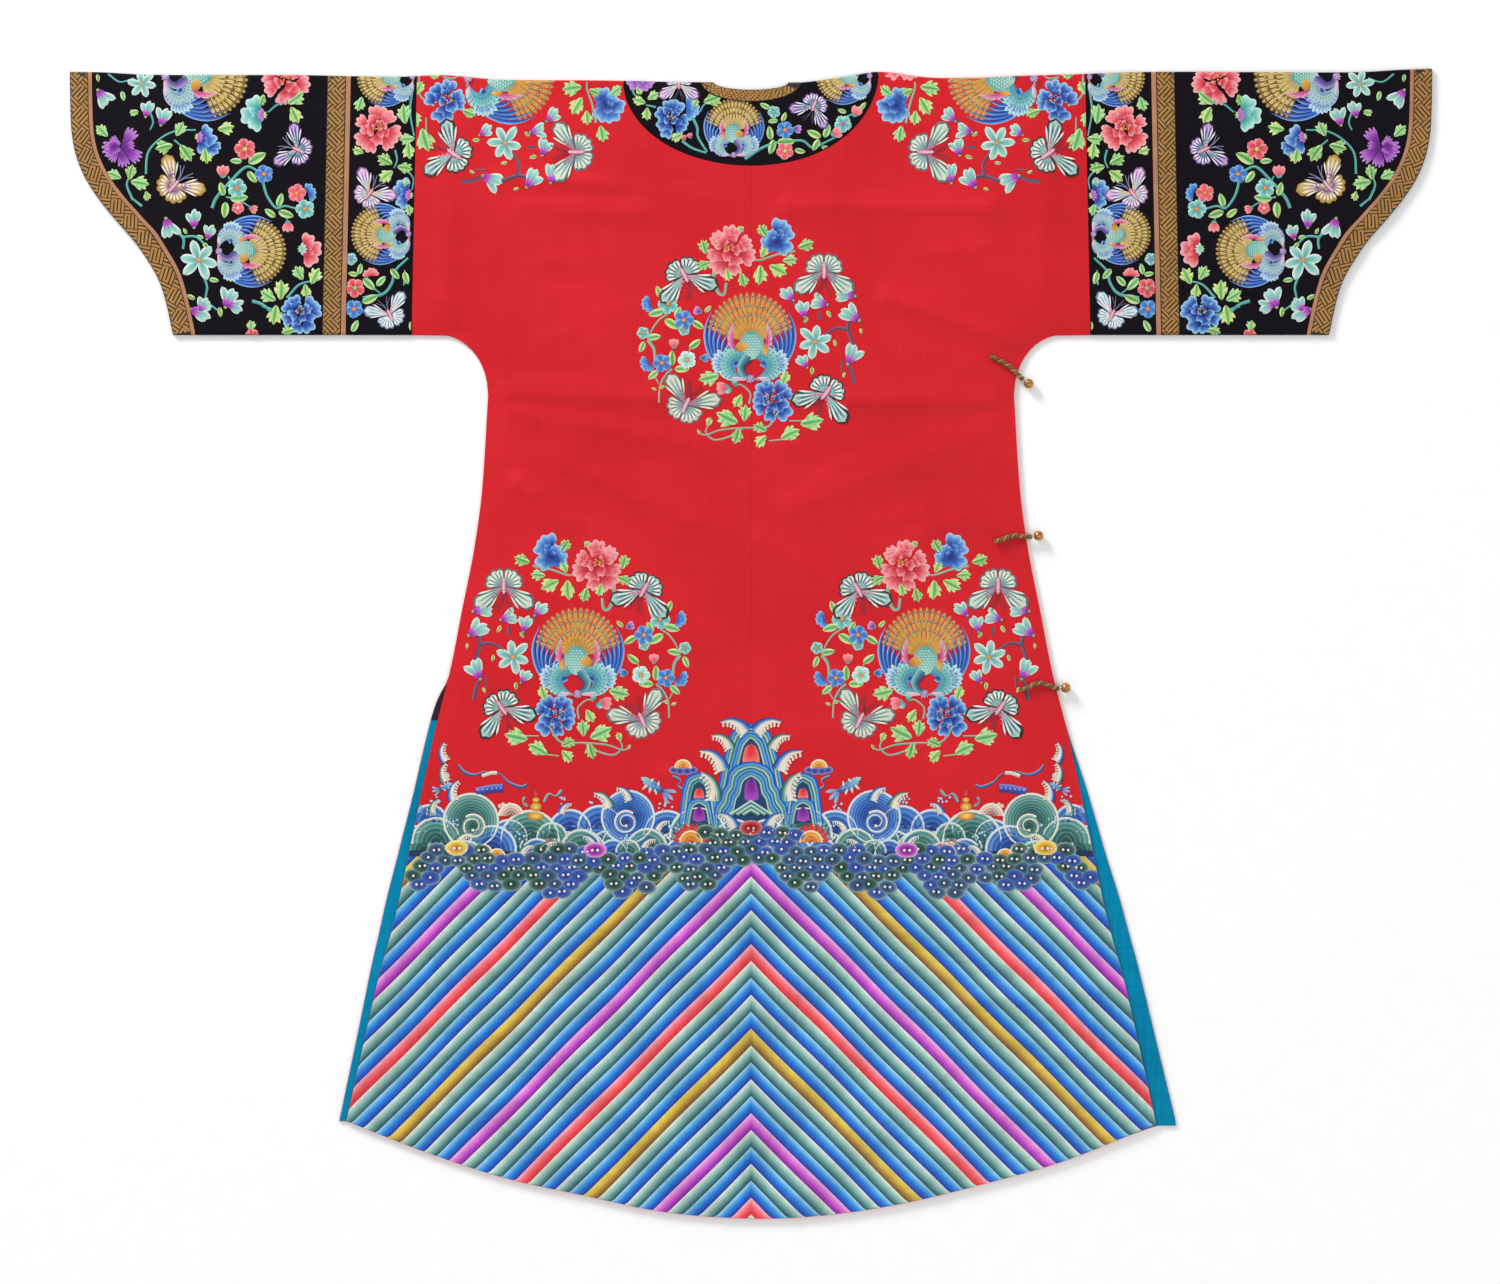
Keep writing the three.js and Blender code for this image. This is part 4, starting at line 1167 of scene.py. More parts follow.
def medallion(pen, x, y, radius, turn=0.0, on_black=False):
    """A round bird: a fan of eyed gold feathers over long blue wing feathers and a scaled breast."""
    here = pen.child(x, y, turn, radius)
    gold, outline, rim, eye, pale, mark, dark = BIRD_ON_BLACK if on_black else BIRD_ON_RED
    for ring, (count, reach, wide) in enumerate(((20, 1.0, 0.145), (17, 0.8, 0.135), (13, 0.6, 0.125))):
        for k in range(count):
            a = -90 + 138 * (k / (count - 1) - 0.5)
            c, s = math.cos(math.radians(a)), math.sin(math.radians(a))
            tip = -0.15 * s + math.sqrt((0.15 * s) ** 2 - 0.0225 + 0.97)
            long = tip * reach
            up = 1.3 * ring + 0.35 * (k % 2)
            plume(here, 0, 0.15, a, long, wide, outline, up)
            plume(here, 0, 0.15, a, long - 0.018, wide * 0.8, rim, up + 0.35)
            plume(here, 0, 0.15, a, long - 0.05, wide * 0.5, gold, up + 0.8)
            r = long * 0.9
            disc(here, r * c, 0.15 + r * s, 0.042, eye, 0.72, a, up + 1.6, 0.2, 2, 7)
    feather = tones("a8d4f4", "3a86d8", "1c4cb0", "152a80", "3f2f8c")
    for side_of in (-1, 1):
        for k in range(8):
            line = smooth_line([
                (side_of * (0.84 - 0.092 * k), -0.56 + 0.125 * k),
                (side_of * (0.965 - 0.096 * k), -0.2 + 0.09 * k),
                (side_of * (0.95 - 0.088 * k), 0.2 + 0.05 * k),
                (side_of * (0.8 - 0.065 * k), 0.54 + 0.015 * k),
                (side_of * (0.6 - 0.05 * k), 0.74 - 0.02 * k)], 12)
            half = 0.058 * np.clip(np.linspace(0.08, 2.6, 12), 0, 1)
            colours = feather if side_of > 0 else feather[::-1]
            band(here, line, half, colours, 0.2 + 0.2 * k, 0.35, 5)
        # The shoulder of the wing: a pale arm, four rows of dark marks and a pink tip
        shoulder = smooth_line([
            (side_of * 0.02, 0.4), (side_of * 0.22, 0.38), (side_of * 0.42, 0.44), (side_of * 0.53, 0.61),
            (side_of * 0.48, 0.79), (side_of * 0.33, 0.91), (side_of * 0.12, 0.97)], 18)
        half = np.array([.08, .11, .15, .18, .2, .215, .225, .23, .225, .22, .21, .19, .17, .14, .11,
                         .08, .045, .012])
        band(here, shoulder, half, pale[::-1] if side_of < 0 else pale, 2.4, 0.35, 5)
        for k in range(2, 14):
            p, ahead = shoulder[k], shoulder[k + 1] - shoulder[k - 1]
            aside = np.array([-ahead[1], ahead[0]]) / (np.linalg.norm(ahead) + 1e-9)
            lean = math.degrees(math.atan2(aside[1], aside[0]))
            for off in (-0.8, -0.4, 0.0, 0.4):
                q = p + aside * half[k] * off * side_of
                petal(here, q[0], q[1], lean, 0.055, 0.035, mark, tier=4.2, dome=0.1, rows=3, cols=2)
        petal(here, side_of * 0.4, 0.93, 90 + side_of * 82, 0.34, 0.08, tones("e8c8dc", "f0a8c8"), tier=4.4,
              rows=6, cols=3)
        for k in range(6):
            b = -58 + 17 * k
            root = 0.5 + 0.13 * math.cos(math.radians(b)), 0.66 + 0.13 * math.sin(math.radians(b))
            petal(here, side_of * root[0], root[1], b if side_of > 0 else 180 - b, 0.3 - 0.02 * k, 0.1,
                  tones("2a62a8", "6aa8d4", "d4ecec"), tones("dcf0f0")[0], (0.6, 0.4), 0, 2.9, 0.25, 5, 3)
        for k in range(4):
            petal(here, side_of * (0.26 + 0.03 * k), 0.34 - 0.05 * k, -90 + side_of * (64 - 15 * k),
                  0.3 + 0.05 * k, 0.09, tones("b82860", "d868a0", "f0b8d4"), None, (0.6, 0.5),
                  -0.25 * side_of, 2.6 + 0.3 * k,
                  rows=6, cols=3)
    body = tones("b8e4cc", "7cc8b4", "49a8a4")
    line = smooth_line([(0.0, -0.1), (-0.03, 0.12), (-0.04, 0.32), (0.03, 0.52)], 10)
    band(here, line, 0.27 * np.array([.35, .72, .9, 1, 1, .95, .85, .7, .5, .25]), body[::-1], 3.4, 0.6,
         6, "along")
    for row in range(9):
        y_of = -0.04 + 0.058 * row
        reach = 0.25 * math.sin(math.pi * (row + 1.2) / 10.5)
        for k in range(-3, 4):
            x_of = (k + 0.5 * (row % 2)) * 0.078
            if abs(x_of) < reach:
                petal(here, x_of - 0.03, y_of, 90, 0.062, 0.058, tones("2f7f8c", "e4f6ea"), None,
                      (0.3, 0.25), 0, 6.8, 0.12, 3, 2)
    neck = smooth_line([(0.03, 0.44), (0.12, 0.56), (0.2, 0.7), (0.14, 0.86), (0.0, 0.92)], 16)
    band(here, neck, 0.1 * np.linspace(1.2, 0.55, 16), dark, 5.0, 0.45, 4)
    disc(here, -0.01, 0.93, 0.085, tones("d8c8e4", "8a6aa8"), 0.8, 20, 7.5, 0.4, 2, 10)
    disc(here, 0.0, 0.92, 0.025, tones("1c1a2a"), 1, 0, 9.5, 0.1, 1, 6)
    petal(here, -0.07, 0.95, 165, 0.18, 0.06, tones("c0a0a8", "7a5a70"), tier=7.4, rows=3, cols=2)
    for a in (60, 95, 130):
        petal(here, 0.0, 0.93, a, 0.13, 0.045, tones("9a86c0", "d8b0d8"), tier=7.2, rows=3, cols=2)
    # A gold and an orange feather over the breast
    petal(here, 0.04, 0.22, 8, 0.3, 0.22, tones("e8b04a", "c07a28"), None, (0.3, 0.3), 0, 6.6, rows=4)
    petal(here, -0.36, 0.44, -84, 0.28, 0.11, tones("f0c050", "d86a28"), None, (0.4, 0.5), 0, 5.6, rows=4)


ROUNDEL_LEAVES = [
    (-56, -92, 195, 17), (-13, -106, -60, 15), (-40, -77, 185, 15), (-14, -85, 250, 13),
    (-28, -67, 150, 20), (-10, -62, 95, 20), (7, -57, 100, 15), (22, -62, 105, 13),
    (46, -72, 20, 14), (46, -90, -70, 15), (9, -108, -60, 8), (-35, 41, -110, 15),
    (-47, 61, 190, 14), (-62, 85, 190, 24), (-40, 97, 215, 21), (-11, 104, 40, 15),
    (-10, 91, -20, 15), (5, 76, -95, 17), (23, 81, -20, 24), (13, 99, 80, 17), (12, 64, 60, 15),
    (41, 41, 20, 21), (41, 85, -120, 10), (51, 95, -60, 6),
]
ROUNDEL_SMALL_LEAVES = [
    (91, -45, -60, 13), (94, -24, 10, 16), (72, -25, -120, 12), (52, -12, 150, 14),
    (78, -13, 150, 17), (55, 7, -150, 14), (96, 0, 190, 14), (108, 10, 70, 12), (78, 21, -85, 15),
    (68, 32, 185, 15), (97, 38, 40, 13), (42, -28, -135, 9), (88, 50, 200, 7), (96, 52, -30, 6),
    (-111, -6, 100, 6), (-79, -23, 110, 8), (-56, -17, 60, 7), (-85, 6, 100, 7), (-62, 34, 95, 8),
    (-94, 38, 60, 6),
]
ROUNDEL_STEMS = [
    (1.1, [(-45, -86), (-26, -82), (-11, -77), (-4, -77)]),
    (1.8, [(35, -68), (36, -59), (32, -45), (26, -43), (24, -54)]),
    (1.0, [(-28, 76), (-19, 89), (-8, 91), (7, 91), (29, 93), (44, 98), (51, 96)]),
    (1.0, [(7, 91), (19, 99), (35, 103), (44, 96), (42, 88)]),
    (0.9, [(1, 67), (0, 56), (9, 48), (16, 49)]), (0.8, [(-54, 84), (-39, 84)]),
    (0.8, [(-37, 102), (-19, 104)]), (0.9, [(82, -23), (91, -17), (98, -7), (102, 4)]),
    (1.6, [(102, 3), (96, 12), (95, 24)]), (1.1, [(78, 32), (85, 39), (90, 50), (91, 66)]),
    (0.8, [(96, 38), (91, 47)]), (0.8, [(58, 7), (62, 18)]),
]
ROUNDEL_TWIGS = [
    (1.9, [(-99, -16), (-98, -7), (-103, 7), (-104, 15)]),
    (1.6, [(-98, -7), (-88, -9), (-79, -5), (-66, 4)]), (1.5, [(-69, -17), (-69, -26)]),
    (1.9, [(-104, 48), (-102, 36), (-98, 27)]), (1.0, [(-92, 24), (-92, 36)]),
    (1.2, [(-57, -16), (-51, -23), (-42, -36)]),
]
WING_GREY = tones("c06a80", "7aa0a8", "a8ccb8", "e0e4d0")
WING_TEAL = tones("d07a9a", "8ac0b8", "5f9aa0", "b8dccc")


def draw_each(pen, what, items, *same):
    """Draws a motif once for each item: what the item gives it, then what is the same for all."""
    for item in items:
        what(pen, *item, *same)


def draw_sprays(pen, stems, leaves, small):
    draw_each(pen, stem, stems, STEM_TEAL)
    draw_each(pen, leaf, leaves, True, 0.6)
    draw_each(pen, leaf, small, False, 0.6)


def roundel(pen, x, y, turn=0.0, flip=False):
    """A wreath of flowers, buds and butterflies round a bird."""
    here = pen.child(x, y, turn, 1, flip)
    draw_each(here, stem, ROUNDEL_STEMS, STEM)
    draw_each(here, stem, ROUNDEL_TWIGS, TWIG)
    draw_each(here, leaf, ROUNDEL_LEAVES, True, 0.6)
    draw_each(here, leaf, ROUNDEL_SMALL_LEAVES, False, 0.6)
    peony(here, 20, -86, 26, PINK, PALE_PINK[0], 0.8, 10)
    draw_each(here, side_flower, (
        (-32, -101, 200, 15, BLUE, PALE_BLUE[0], None, 0.8),
        (-24, -99, -60, 13, BLUE, PALE_BLUE[0], None, 1.4),
        (-22, -93, 60, 10, BLUE[:3], None, None, 0.6),
    ))
    peony(here, -23, 64, 23, BLUE, PALE_BLUE[0], 0.8, 40, 2)
    bud(here, 27, 51, 10, 9, PINK[1:], 0.8)
    for x, y, turn in ((16, 49, -100), (18, 51, 40)):
        petal(here, x, y, turn, 8, 5, TEAL, tier=1.2)
    for x, y, turn, wing, edge, dots, lean in (
        (-74, -66, 90, WING_GREY, "56707a", "e8ecd8", 0), (66, -62, 120, WING_TEAL, "3a3038", "f4f0e8", -14),
        (-76, 56, 55, WING_TEAL, "2e262c", "f4f0e8", 14), (64, 68, -115, WING_GREY, "7a6a72", "e8ecd8", 0),
    ):
        butterfly(here, x, y, turn, 27, wing, edge, dots, lean, 1)
    magnolia(here, -65, 5, 18, 18, 0.8)
    draw_each(here, magnolia_bud, (
        (-98, -42, -10, 13), (-71, -34, -15, 12), (-103, -21, -35, 14), (-53, -26, -75, 11),
        (-39, -41, -45, 11), (-101, 20, -115, 14), (-54, 26, -55, 10),
    ), 0.9)
    draw_each(here, plum, (
        (82, -33, 10.5, TEAL, 0.9), (66, -17, 10, BLUE[1:], 1.1), (66, -7, 6, TEAL, 0.7),
        (63, 23, 9.5, WHITE_TEAL, 0.9), (88, 26, 9.5, BLUE[1:], 0.9), (107, -4, 6.5, TEAL, 0.9),
    ))
    draw_each(here, side_flower, ((102, -32, 20), (103, 28, 40)), 7, BLUE[1:], None, None, 0.9)
    draw_each(here, bud, ((52, -26, -20, 6, PURPLE), (76, 7, -90, 7, PINK[1:]), (46, 21, 180, 6, BLUE)), 0.9)
    medallion(here, 0, -1, 45)


panels = {}


def panel(name, slot, flip=False, hold=hold_body):
    """A new piece of embroidery, and a pen for it that may draw mirrored about the centre seam."""
    panels[name] = Panel(name, slot, hold)
    return Pen(panels[name], 2 * SEAM_PX if flip else 0.0, 0.0, 0, 1, flip)


LAYOUT_RNG = 5
for word, flip in (("left", False), ("right", True)):
    rng = np.random.default_rng(LAYOUT_RNG)
    roundel(panel(f"embroidery_lower_{word}", "red_silk", flip), 578, 652)
    roundel(panel(f"embroidery_shoulder_{word}", "red_silk", flip), 510, 78, 90, True)
rng = np.random.default_rng(LAYOUT_RNG)
roundel(panel("embroidery_centre", "red_silk"), 750, 337, 0, True)

CUFF_LEAVES = [
    (102, 131, -135, 16), (114, 175, -150, 16), (131, 172, -80, 16), (140, 183, 10, 19),
    (164, 147, 170, 18), (186, 153, 50, 20), (180, 129, -60, 16), (226, 128, -10, 17),
    (206, 156, 80, 16), (134, 113, 180, 9), (296, 98, -30, 20), (295, 115, 60, 18),
    (299, 273, -120, 16), (315, 276, -70, 18), (306, 291, 80, 14), (268, 296, 205, 18),
    (281, 290, -80, 20), (275, 315, 95, 20), (251, 326, -90, 12), (288, 331, 170, 14),
    (262, 100, 110, 12), (147, 196, 70, 10),
]
CUFF_SMALL_LEAVES = [
    (123, 96, 80, 10), (185, 231, -120, 7), (200, 237, 200, 8), (206, 246, 50, 9),
    (214, 280, 0, 10), (191, 297, -150, 9), (220, 312, 80, 10), (222, 189, -110, 14),
    (225, 210, 90, 16), (239, 198, 0, 18), (236, 161, 190, 12), (252, 177, 60, 14),
    (257, 158, -35, 20), (280, 200, -70, 14), (270, 213, 220, 13), (286, 214, 20, 16),
    (134, 112, 170, 9), (98, 78, 80, 8),
]
CUFF_STEMS = [
    (1.1, [(146, 174), (148, 153), (160, 139), (176, 131), (196, 130)]), (0.9, [(174, 140), (185, 149)]),
    (1.2, [(133, 200), (127, 185), (131, 174)]), (1.3, [(142, 206), (133, 199)]),
    (1.6, [(212, 208), (217, 197), (231, 181), (246, 167), (258, 171)]), (0.9, [(231, 181), (228, 176)]),
    (0.9, [(226, 197), (238, 200), (252, 208)]),
    (1.3, [(263, 183), (267, 196), (276, 208), (285, 206), (297, 209)]),
    (0.8, [(284, 213), (288, 222)]), (1.5, [(174, 229), (183, 238), (183, 249)]),
    (1.2, [(183, 237), (196, 237), (208, 248)]), (1.2, [(203, 275), (207, 287), (206, 300), (217, 310)]),
    (1.6, [(252, 301), (263, 305), (274, 315)]), (1.2, [(287, 298), (299, 285), (312, 281)]),
    (1.2, [(262, 306), (278, 312), (290, 318)]), (1.1, [(302, 103), (281, 103), (268, 112)]),
    (1.0, [(150, 112), (153, 122), (150, 130)]), (0.9, [(108, 74), (120, 82), (134, 78)]),
]
BAND_LEAVES = [
    (360, 104, 100, 15), (404, 114, -100, 20), (407, 139, 170, 16), (409, 151, 90, 17), (358, 151, 200, 12),
    (385, 160, -150, 17), (405, 168, 10, 16), (386, 176, 150, 17), (406, 183, -80, 9), (409, 210, 70, 12),
]
BAND_SMALL_LEAVES = [
    (353, 274, 190, 10), (360, 269, -70, 11), (369, 284, 40, 16), (381, 281, -50, 13), (395, 274, 50, 13),
    (406, 278, 80, 13), (370, 299, -20, 17), (355, 326, -60, 13), (411, 326, -90, 9),
]
BAND_STEMS = [
    (1.5, [(363, 298), (383, 294), (392, 283), (395, 271), (408, 258)]),
    (1.0, [(395, 150), (397, 160), (394, 168)]),
    (1.1, [(412, 92), (410, 112), (414, 136)]), (0.9, [(366, 276), (374, 288), (380, 293)]),
    (0.9, [(404, 168), (413, 178), (412, 190)]), (0.9, [(404, 285), (405, 270)]),
]
COLLAR_LEAVES = [
    (639, 101, 200, 14), (653, 96, -40, 13), (647, 114, 100, 13), (713, 99, -15, 20), (695, 103, -60, 10),
    (677, 137, 150, 13), (639, 91, 60, 9),
]
COLLAR_SMALL_LEAVES = [
    (765, 106, 200, 11), (773, 121, 180, 10), (784, 117, -60, 10), (770, 133, -100, 14), (786, 142, 0, 18),
    (772, 147, 100, 15), (800, 151, 20, 11), (814, 134, 200, 15), (827, 131, -70, 14), (816, 145, 120, 13),
    (842, 111, 190, 9), (863, 106, -60, 9), (826, 148, 20, 9),
]
COLLAR_STEMS = [
    (1.0, [(656, 107), (646, 105)]), (1.4, [(690, 113), (697, 127), (698, 137), (707, 152)]),
    (1.3, [(682, 141), (692, 148), (706, 153)]), (1.5, [(745, 159), (762, 148), (776, 143), (786, 142)]),
    (1.2, [(790, 141), (803, 141), (813, 148), (824, 143), (836, 137)]), (0.9, [(846, 117), (855, 113)]),
    (0.9, [(700, 112), (704, 105), (712, 100)]), (0.9, [(772, 120), (776, 114)]),
    (1.0, [(632, 84), (634, 94), (641, 98)]),
]


WING_VIOLET = tones("d8b0c8", "3f9a98", "7a4fb0", "d8b8e4")
WING_PINK = tones("f0b088", "a8dcd4", "c890d0", "f0d0e8")
WING_BROWN = tones("e8d8b0", "7a3fa0", "e0c8a0", "c8a040")
WING_PALE = tones("e89ab8", "e8f0e8", "a8c8dc", "f0f0ec")
MAUVE_RIM = tones("c890dc")[0]
CARNATION = tones("4c1470", "7a1f98", "9a3cb4", "b060c8")


def cuff(pen):
    draw_sprays(pen, CUFF_STEMS, CUFF_LEAVES, CUFF_SMALL_LEAVES)
    medallion(pen, 206.5, 77, 43, 90, True)
    medallion(pen, 252.5, 251.5, 35, 90, True)
    carnation(pen, 121, 147, 23, CARNATION, MAUVE_RIM, 0.8)
    butterfly(pen, 174, 186, -48, 24, WING_BROWN, "b08838", "f4f0e0", 0, 1, "8a86a8")
    butterfly(pen, 298, 150, 205, 21, WING_VIOLET, "4a2a6a", "f0ecf4", 0, 1, "8a86a8")
    magnolia(pen, 142, 84, 15, 10, 0.8)
    magnolia(pen, 199, 260, 20, 8, 0.9)
    draw_each(pen, magnolia_bud, (
        (102, 96, 55, 13), (147, 111, -78, 11), (163, 119, -72, 12), (168, 226, 75, 14), (194, 221, -92, 12),
        (209, 234, -70, 10), (198, 312, 20, 14), (202, 306, -60, 11), (228, 300, -70, 14), (233, 306, 20, 11),
    ), 0.9)
    draw_each(pen, side_flower, (
        (206, 139, 15, 13, BLUE, PALE_BLUE[0], MAGENTA, 0.8),
        (213, 149, 60, 8, BLUE, PALE_BLUE[0], None, 0.6),
        (254, 115, 180, 15, TEAL, None, MAGENTA, 0.8), (310, 249, 0, 14, PINK, PALE_PINK[0], TEAL, 0.8),
    ))
    peony(pen, 285, 84, 24, PINK, PALE_PINK[0], 0.8)
    peony(pen, 300, 314, 21, BLUE, PALE_BLUE[0], 0.8, 0, 2)
    draw_each(pen, plum, (
        (245, 149, 11, PINK, 0.9, tones("e8d890", "b8a040")), (237, 188, 10, TEAL, 0.9),
        (238, 208, 6.5, PINK[1:], 0.9, tones("f8d8c0")), (264, 174, 9.5, BLUE[1:], 0.9),
        (297, 193, 9.5, PINK[1:], 0.9), (305, 209, 10, TEAL, 0.9),
    ))
    side_flower(pen, 311, 192, -20, 7, BLUE[1:], None, None, 0.9)
    plum(pen, 252, 335, 7, PINK, 0.9)
    draw_each(pen, bud, ((223, 172, -90, 9), (253, 209, 20, 6), (288, 226, 90, 8)), PINK[1:], 0.9)


def band_panel(pen):
    draw_sprays(pen, BAND_STEMS, BAND_LEAVES, BAND_SMALL_LEAVES)
    medallion(pen, 385, 77, 29, -90, True)
    medallion(pen, 380, 234, 30, -90, True)
    peony(pen, 377, 130, 24, PINK, PALE_PINK[0], 0.8)
    side_flower(pen, 402, 194, 190, 13, BLUE, PALE_BLUE[0], MAGENTA, 0.8)
    butterfly(pen, 369, 194, -52, 21, WING_PINK, "8a5a90", "f4f0f4", 0, 1, "8a86a8")
    butterfly(pen, 390, 315, -115, 20, WING_PALE, "6a8aa8", "f4f0f4", 0, 1, "6a6688")
    draw_each(pen, plum, (
        (355, 288, 10, PINK, 0.9, tones("a8d890", "60a860")), (354, 309, 9.5, BLUE[1:], 0.9),
        (351, 259, 6.5, TEAL, 0.9, tones("b070cc")),
    ))
    side_flower(pen, 371, 273, -90, 7, PINK[1:], None, None, 0.9)


def collar_panel(pen):
    draw_sprays(pen, COLLAR_STEMS, COLLAR_LEAVES, COLLAR_SMALL_LEAVES)
    medallion(pen, 734, 127, 29.5, 0, True)
    medallion(pen, 843, 76, 28, -90, True)
    peony(pen, 671, 119, 19, BLUE, PALE_BLUE[0], 0.8, 0, 2)
    side_flower(pen, 691, 109, 0, 11, BLUE[1:], PALE_BLUE[0], None, 0.6)
    side_flower(pen, 642, 83, 90, 12, PURPLE, MAUVE_RIM, None, 0.8)
    butterfly(pen, 679, 84, 90, 18, WING_PINK, "6a4a80", "f4f0f4", 0, 1, "4a4668")
    butterfly(pen, 814, 106, 110, 19, WING_VIOLET, "5a3a80", "f4f0f4", 8, 1, "4a4668")
    draw_each(pen, plum, (
        (774, 112, 6.5, TEAL, 0.9, tones("8ab0c8")), (785, 130, 9, BLUE[1:], 0.9),
        (785, 151, 9, PINK[1:], 0.9, tones("d8e8a0", "90b060")), (843, 124, 9, TEAL, 0.9, MAGENTA),
    ))
    draw_each(pen, bud, (
        (797, 129, 10, 6, PURPLE), (836, 133, -20, 8, PINK[1:]), (856, 112, -60, 8, PINK[1:]),
        (684, 138, -110, 4, PINK), (690, 136, -110, 4, PINK),
    ), 0.9)


# Hem: slanting stripes, a fringe of small clouds, rolling waves, and rocks that stand in them
STRIPE_PITCH, STRIPE_FIRST = 16.9, 868.0
STRIPE_GREEN = tones("e4ecdc", "a8ccc0", "74aaa8", "3c7678", "143e44")
STRIPE_BLUE = tones("a4d4f0", "4aa6e4", "1c7cd8", "1850c4", "1c2c98")
STRIPE_ACCENTS = (
    tones("f0b4e0", "dc70d4", "b434c0", "6c1490"), tones("fab4bc", "f87078", "f0424c", "d82434"),
    tones("e0d460", "dcb844", "a87c34", "58380c"),
)
CLOUD_BUNCHES = [(333, 893), (257, 896), (193, 901), (125, 899), (51, 896), (0, 868)]


def down_of(y):
    return (y - FOLD_PX) * PIXEL


def stripes(pen, side):
    """Chevrons that fall from the centre seam, each shaded from its upper to its lower edge."""
    at = np.arange(0, 430, 0.25)
    for k in range(-25, 22):
        kind, turn = k % 5, (k // 5) % 3
        colours = STRIPE_ACCENTS[turn] if kind == 0 else (STRIPE_BLUE if kind in (2, 4) else STRIPE_GREEN)
        lines = []
        for off in np.linspace(-0.5, 0.55, 7) * STRIPE_PITCH:
            top = STRIPE_FIRST + k * STRIPE_PITCH + off
            down = down_of(top + at)
            inside = (at * PIXEL < body_half(down)) & (down < back_hem(side * at * PIXEL))
            start = max(0.0, 856.0 - top)
            ends = at[inside & (at >= start)]
            lines.append((top, start, ends.max() + 1.0 if len(ends) else start))
        if max(last - first for _, first, last in lines) < 2:
            continue
        count = max(4, int(max(last - first for _, first, last in lines) / 3.2))
        u = np.linspace(0, 1, count)
        columns = []
        for top, first, last in lines:
            away = first + (last - first) * u
            sway = 0.7 * (np.sin(away / 17 + 0.4 * np.sin((top + away) / 40))
                          - np.sin(0.4 * np.sin(top / 40)))
            columns.append(np.stack([SEAM_PX - away, top + away + sway], -1))
        grid = np.stack(columns, 1)
        v = np.linspace(0, 1, 7)
        colour = ramp(colours, np.broadcast_to(v, (count, 7)))
        patchy = 1 + 0.1 * np.sin(u * count * 0.37 + k) * rng.uniform(0.5, 1.2, count)
        patchy = patchy + rng.uniform(-0.07, 0.07, count)
        colour = np.clip(colour * patchy[:, None, None], 0, 1)
        crown = (0.45 * np.sin(np.pi * np.clip(v, 0.02, 0.98)) - 0.1 * v)[None, :] + np.zeros((count, 1))
        along = np.stack([np.broadcast_to(u[:, None] * count * 4.5, (count, 7)),
                          np.broadcast_to(v * 12, (count, 7))], -1)
        pen.lay(grid, crown, colour, along, 1.0)


def small_clouds(pen):
    """A fringe of ringed clouds with pearls, in bunches that hang over the stripes."""
    kinds = (tones("141c50", "1c3080", "2c4aa4", "3054a4", "3a5ea0", "a4b8b0"),
             tones("100f14", "16261c", "24483c", "2c5a50", "3c6a68", "9cb0a4"),
             tones("181430", "20304c", "2c4c64", "34587c", "44688c", "a4b0ac"))
    row = 0
    y = 816.0
    while y < 905:
        for k in range(0, 26):
            away = 15.0 * k + 7.5 * (row % 2) + rng.uniform(-2.4, 2.4)
            env = max(low - 0.021 * (away - middle) ** 2 for middle, low in CLOUD_BUNCHES)
            start = 830 if away < 48 else 850 + 4 * math.sin(away / 17)
            if not start <= y <= env - 5:
                continue
            x, yy = SEAM_PX - away, y + rng.uniform(-2.2, 2.2)
            if away * PIXEL > float(body_half(np.array(down_of(yy)))) - 9:
                continue
            tier = 3.6 + 0.45 * (row % 3) + 0.5 * (k % 2) + rng.uniform(0, 0.3)
            size = rng.uniform(8.6, 11)
            disc(pen, x, yy, size, kinds[rng.integers(3)], 0.72, rng.uniform(-12, 12), tier, 0.35, 6, 18)
            pearls = ((0.0, 0.0),) if rng.uniform() < 0.5 else ((-2.5, 0.2), (2.5, -0.2))
            for dx, dy in pearls:
                disc(pen, x + dx, yy + dy, 1.45, tones("ffffff", "d0ccd8"), 1, 0, tier + 2.2, 0.5, 2, 8)
        y += 8.6
        row += 1
    for x, y, colours in ((457, 848, ("8a5a10", "c89020", "e8c040", "f4e0a0")),
                          (595, 850, ("5a0a70", "8a1a90", "b040b0", "e8b0e0")),
                          (751, 828, ("a01018", "d02028", "f04848", "f8c0b8"))):
        disc(pen, x, y, 12, tones(*colours), 0.66, 0, 6.4, 0.5, 5, 20)
        for dx in (-2.6, 2.6):
            disc(pen, x + dx, y + 0.3, 1.6, tones("ffffff", "e0dce0"), 1, 0, 9, 0.4, 2, 8)


ROCK_RED = tones("ff8a70", "f03840", "d02030")
ROCK_VIOLET = tones("b050c0", "8a1aa0", "5a1078")
WAVE_TEAL = tones("c8d8c8", "6fa8a0", "2f6f6a", "173f3c")
WAVE_BLUE = tones("b8d4ec", "4f8fd4", "1f52ac", "142c74")
FOAM = tones("f4ecdc", "e0d0b4")


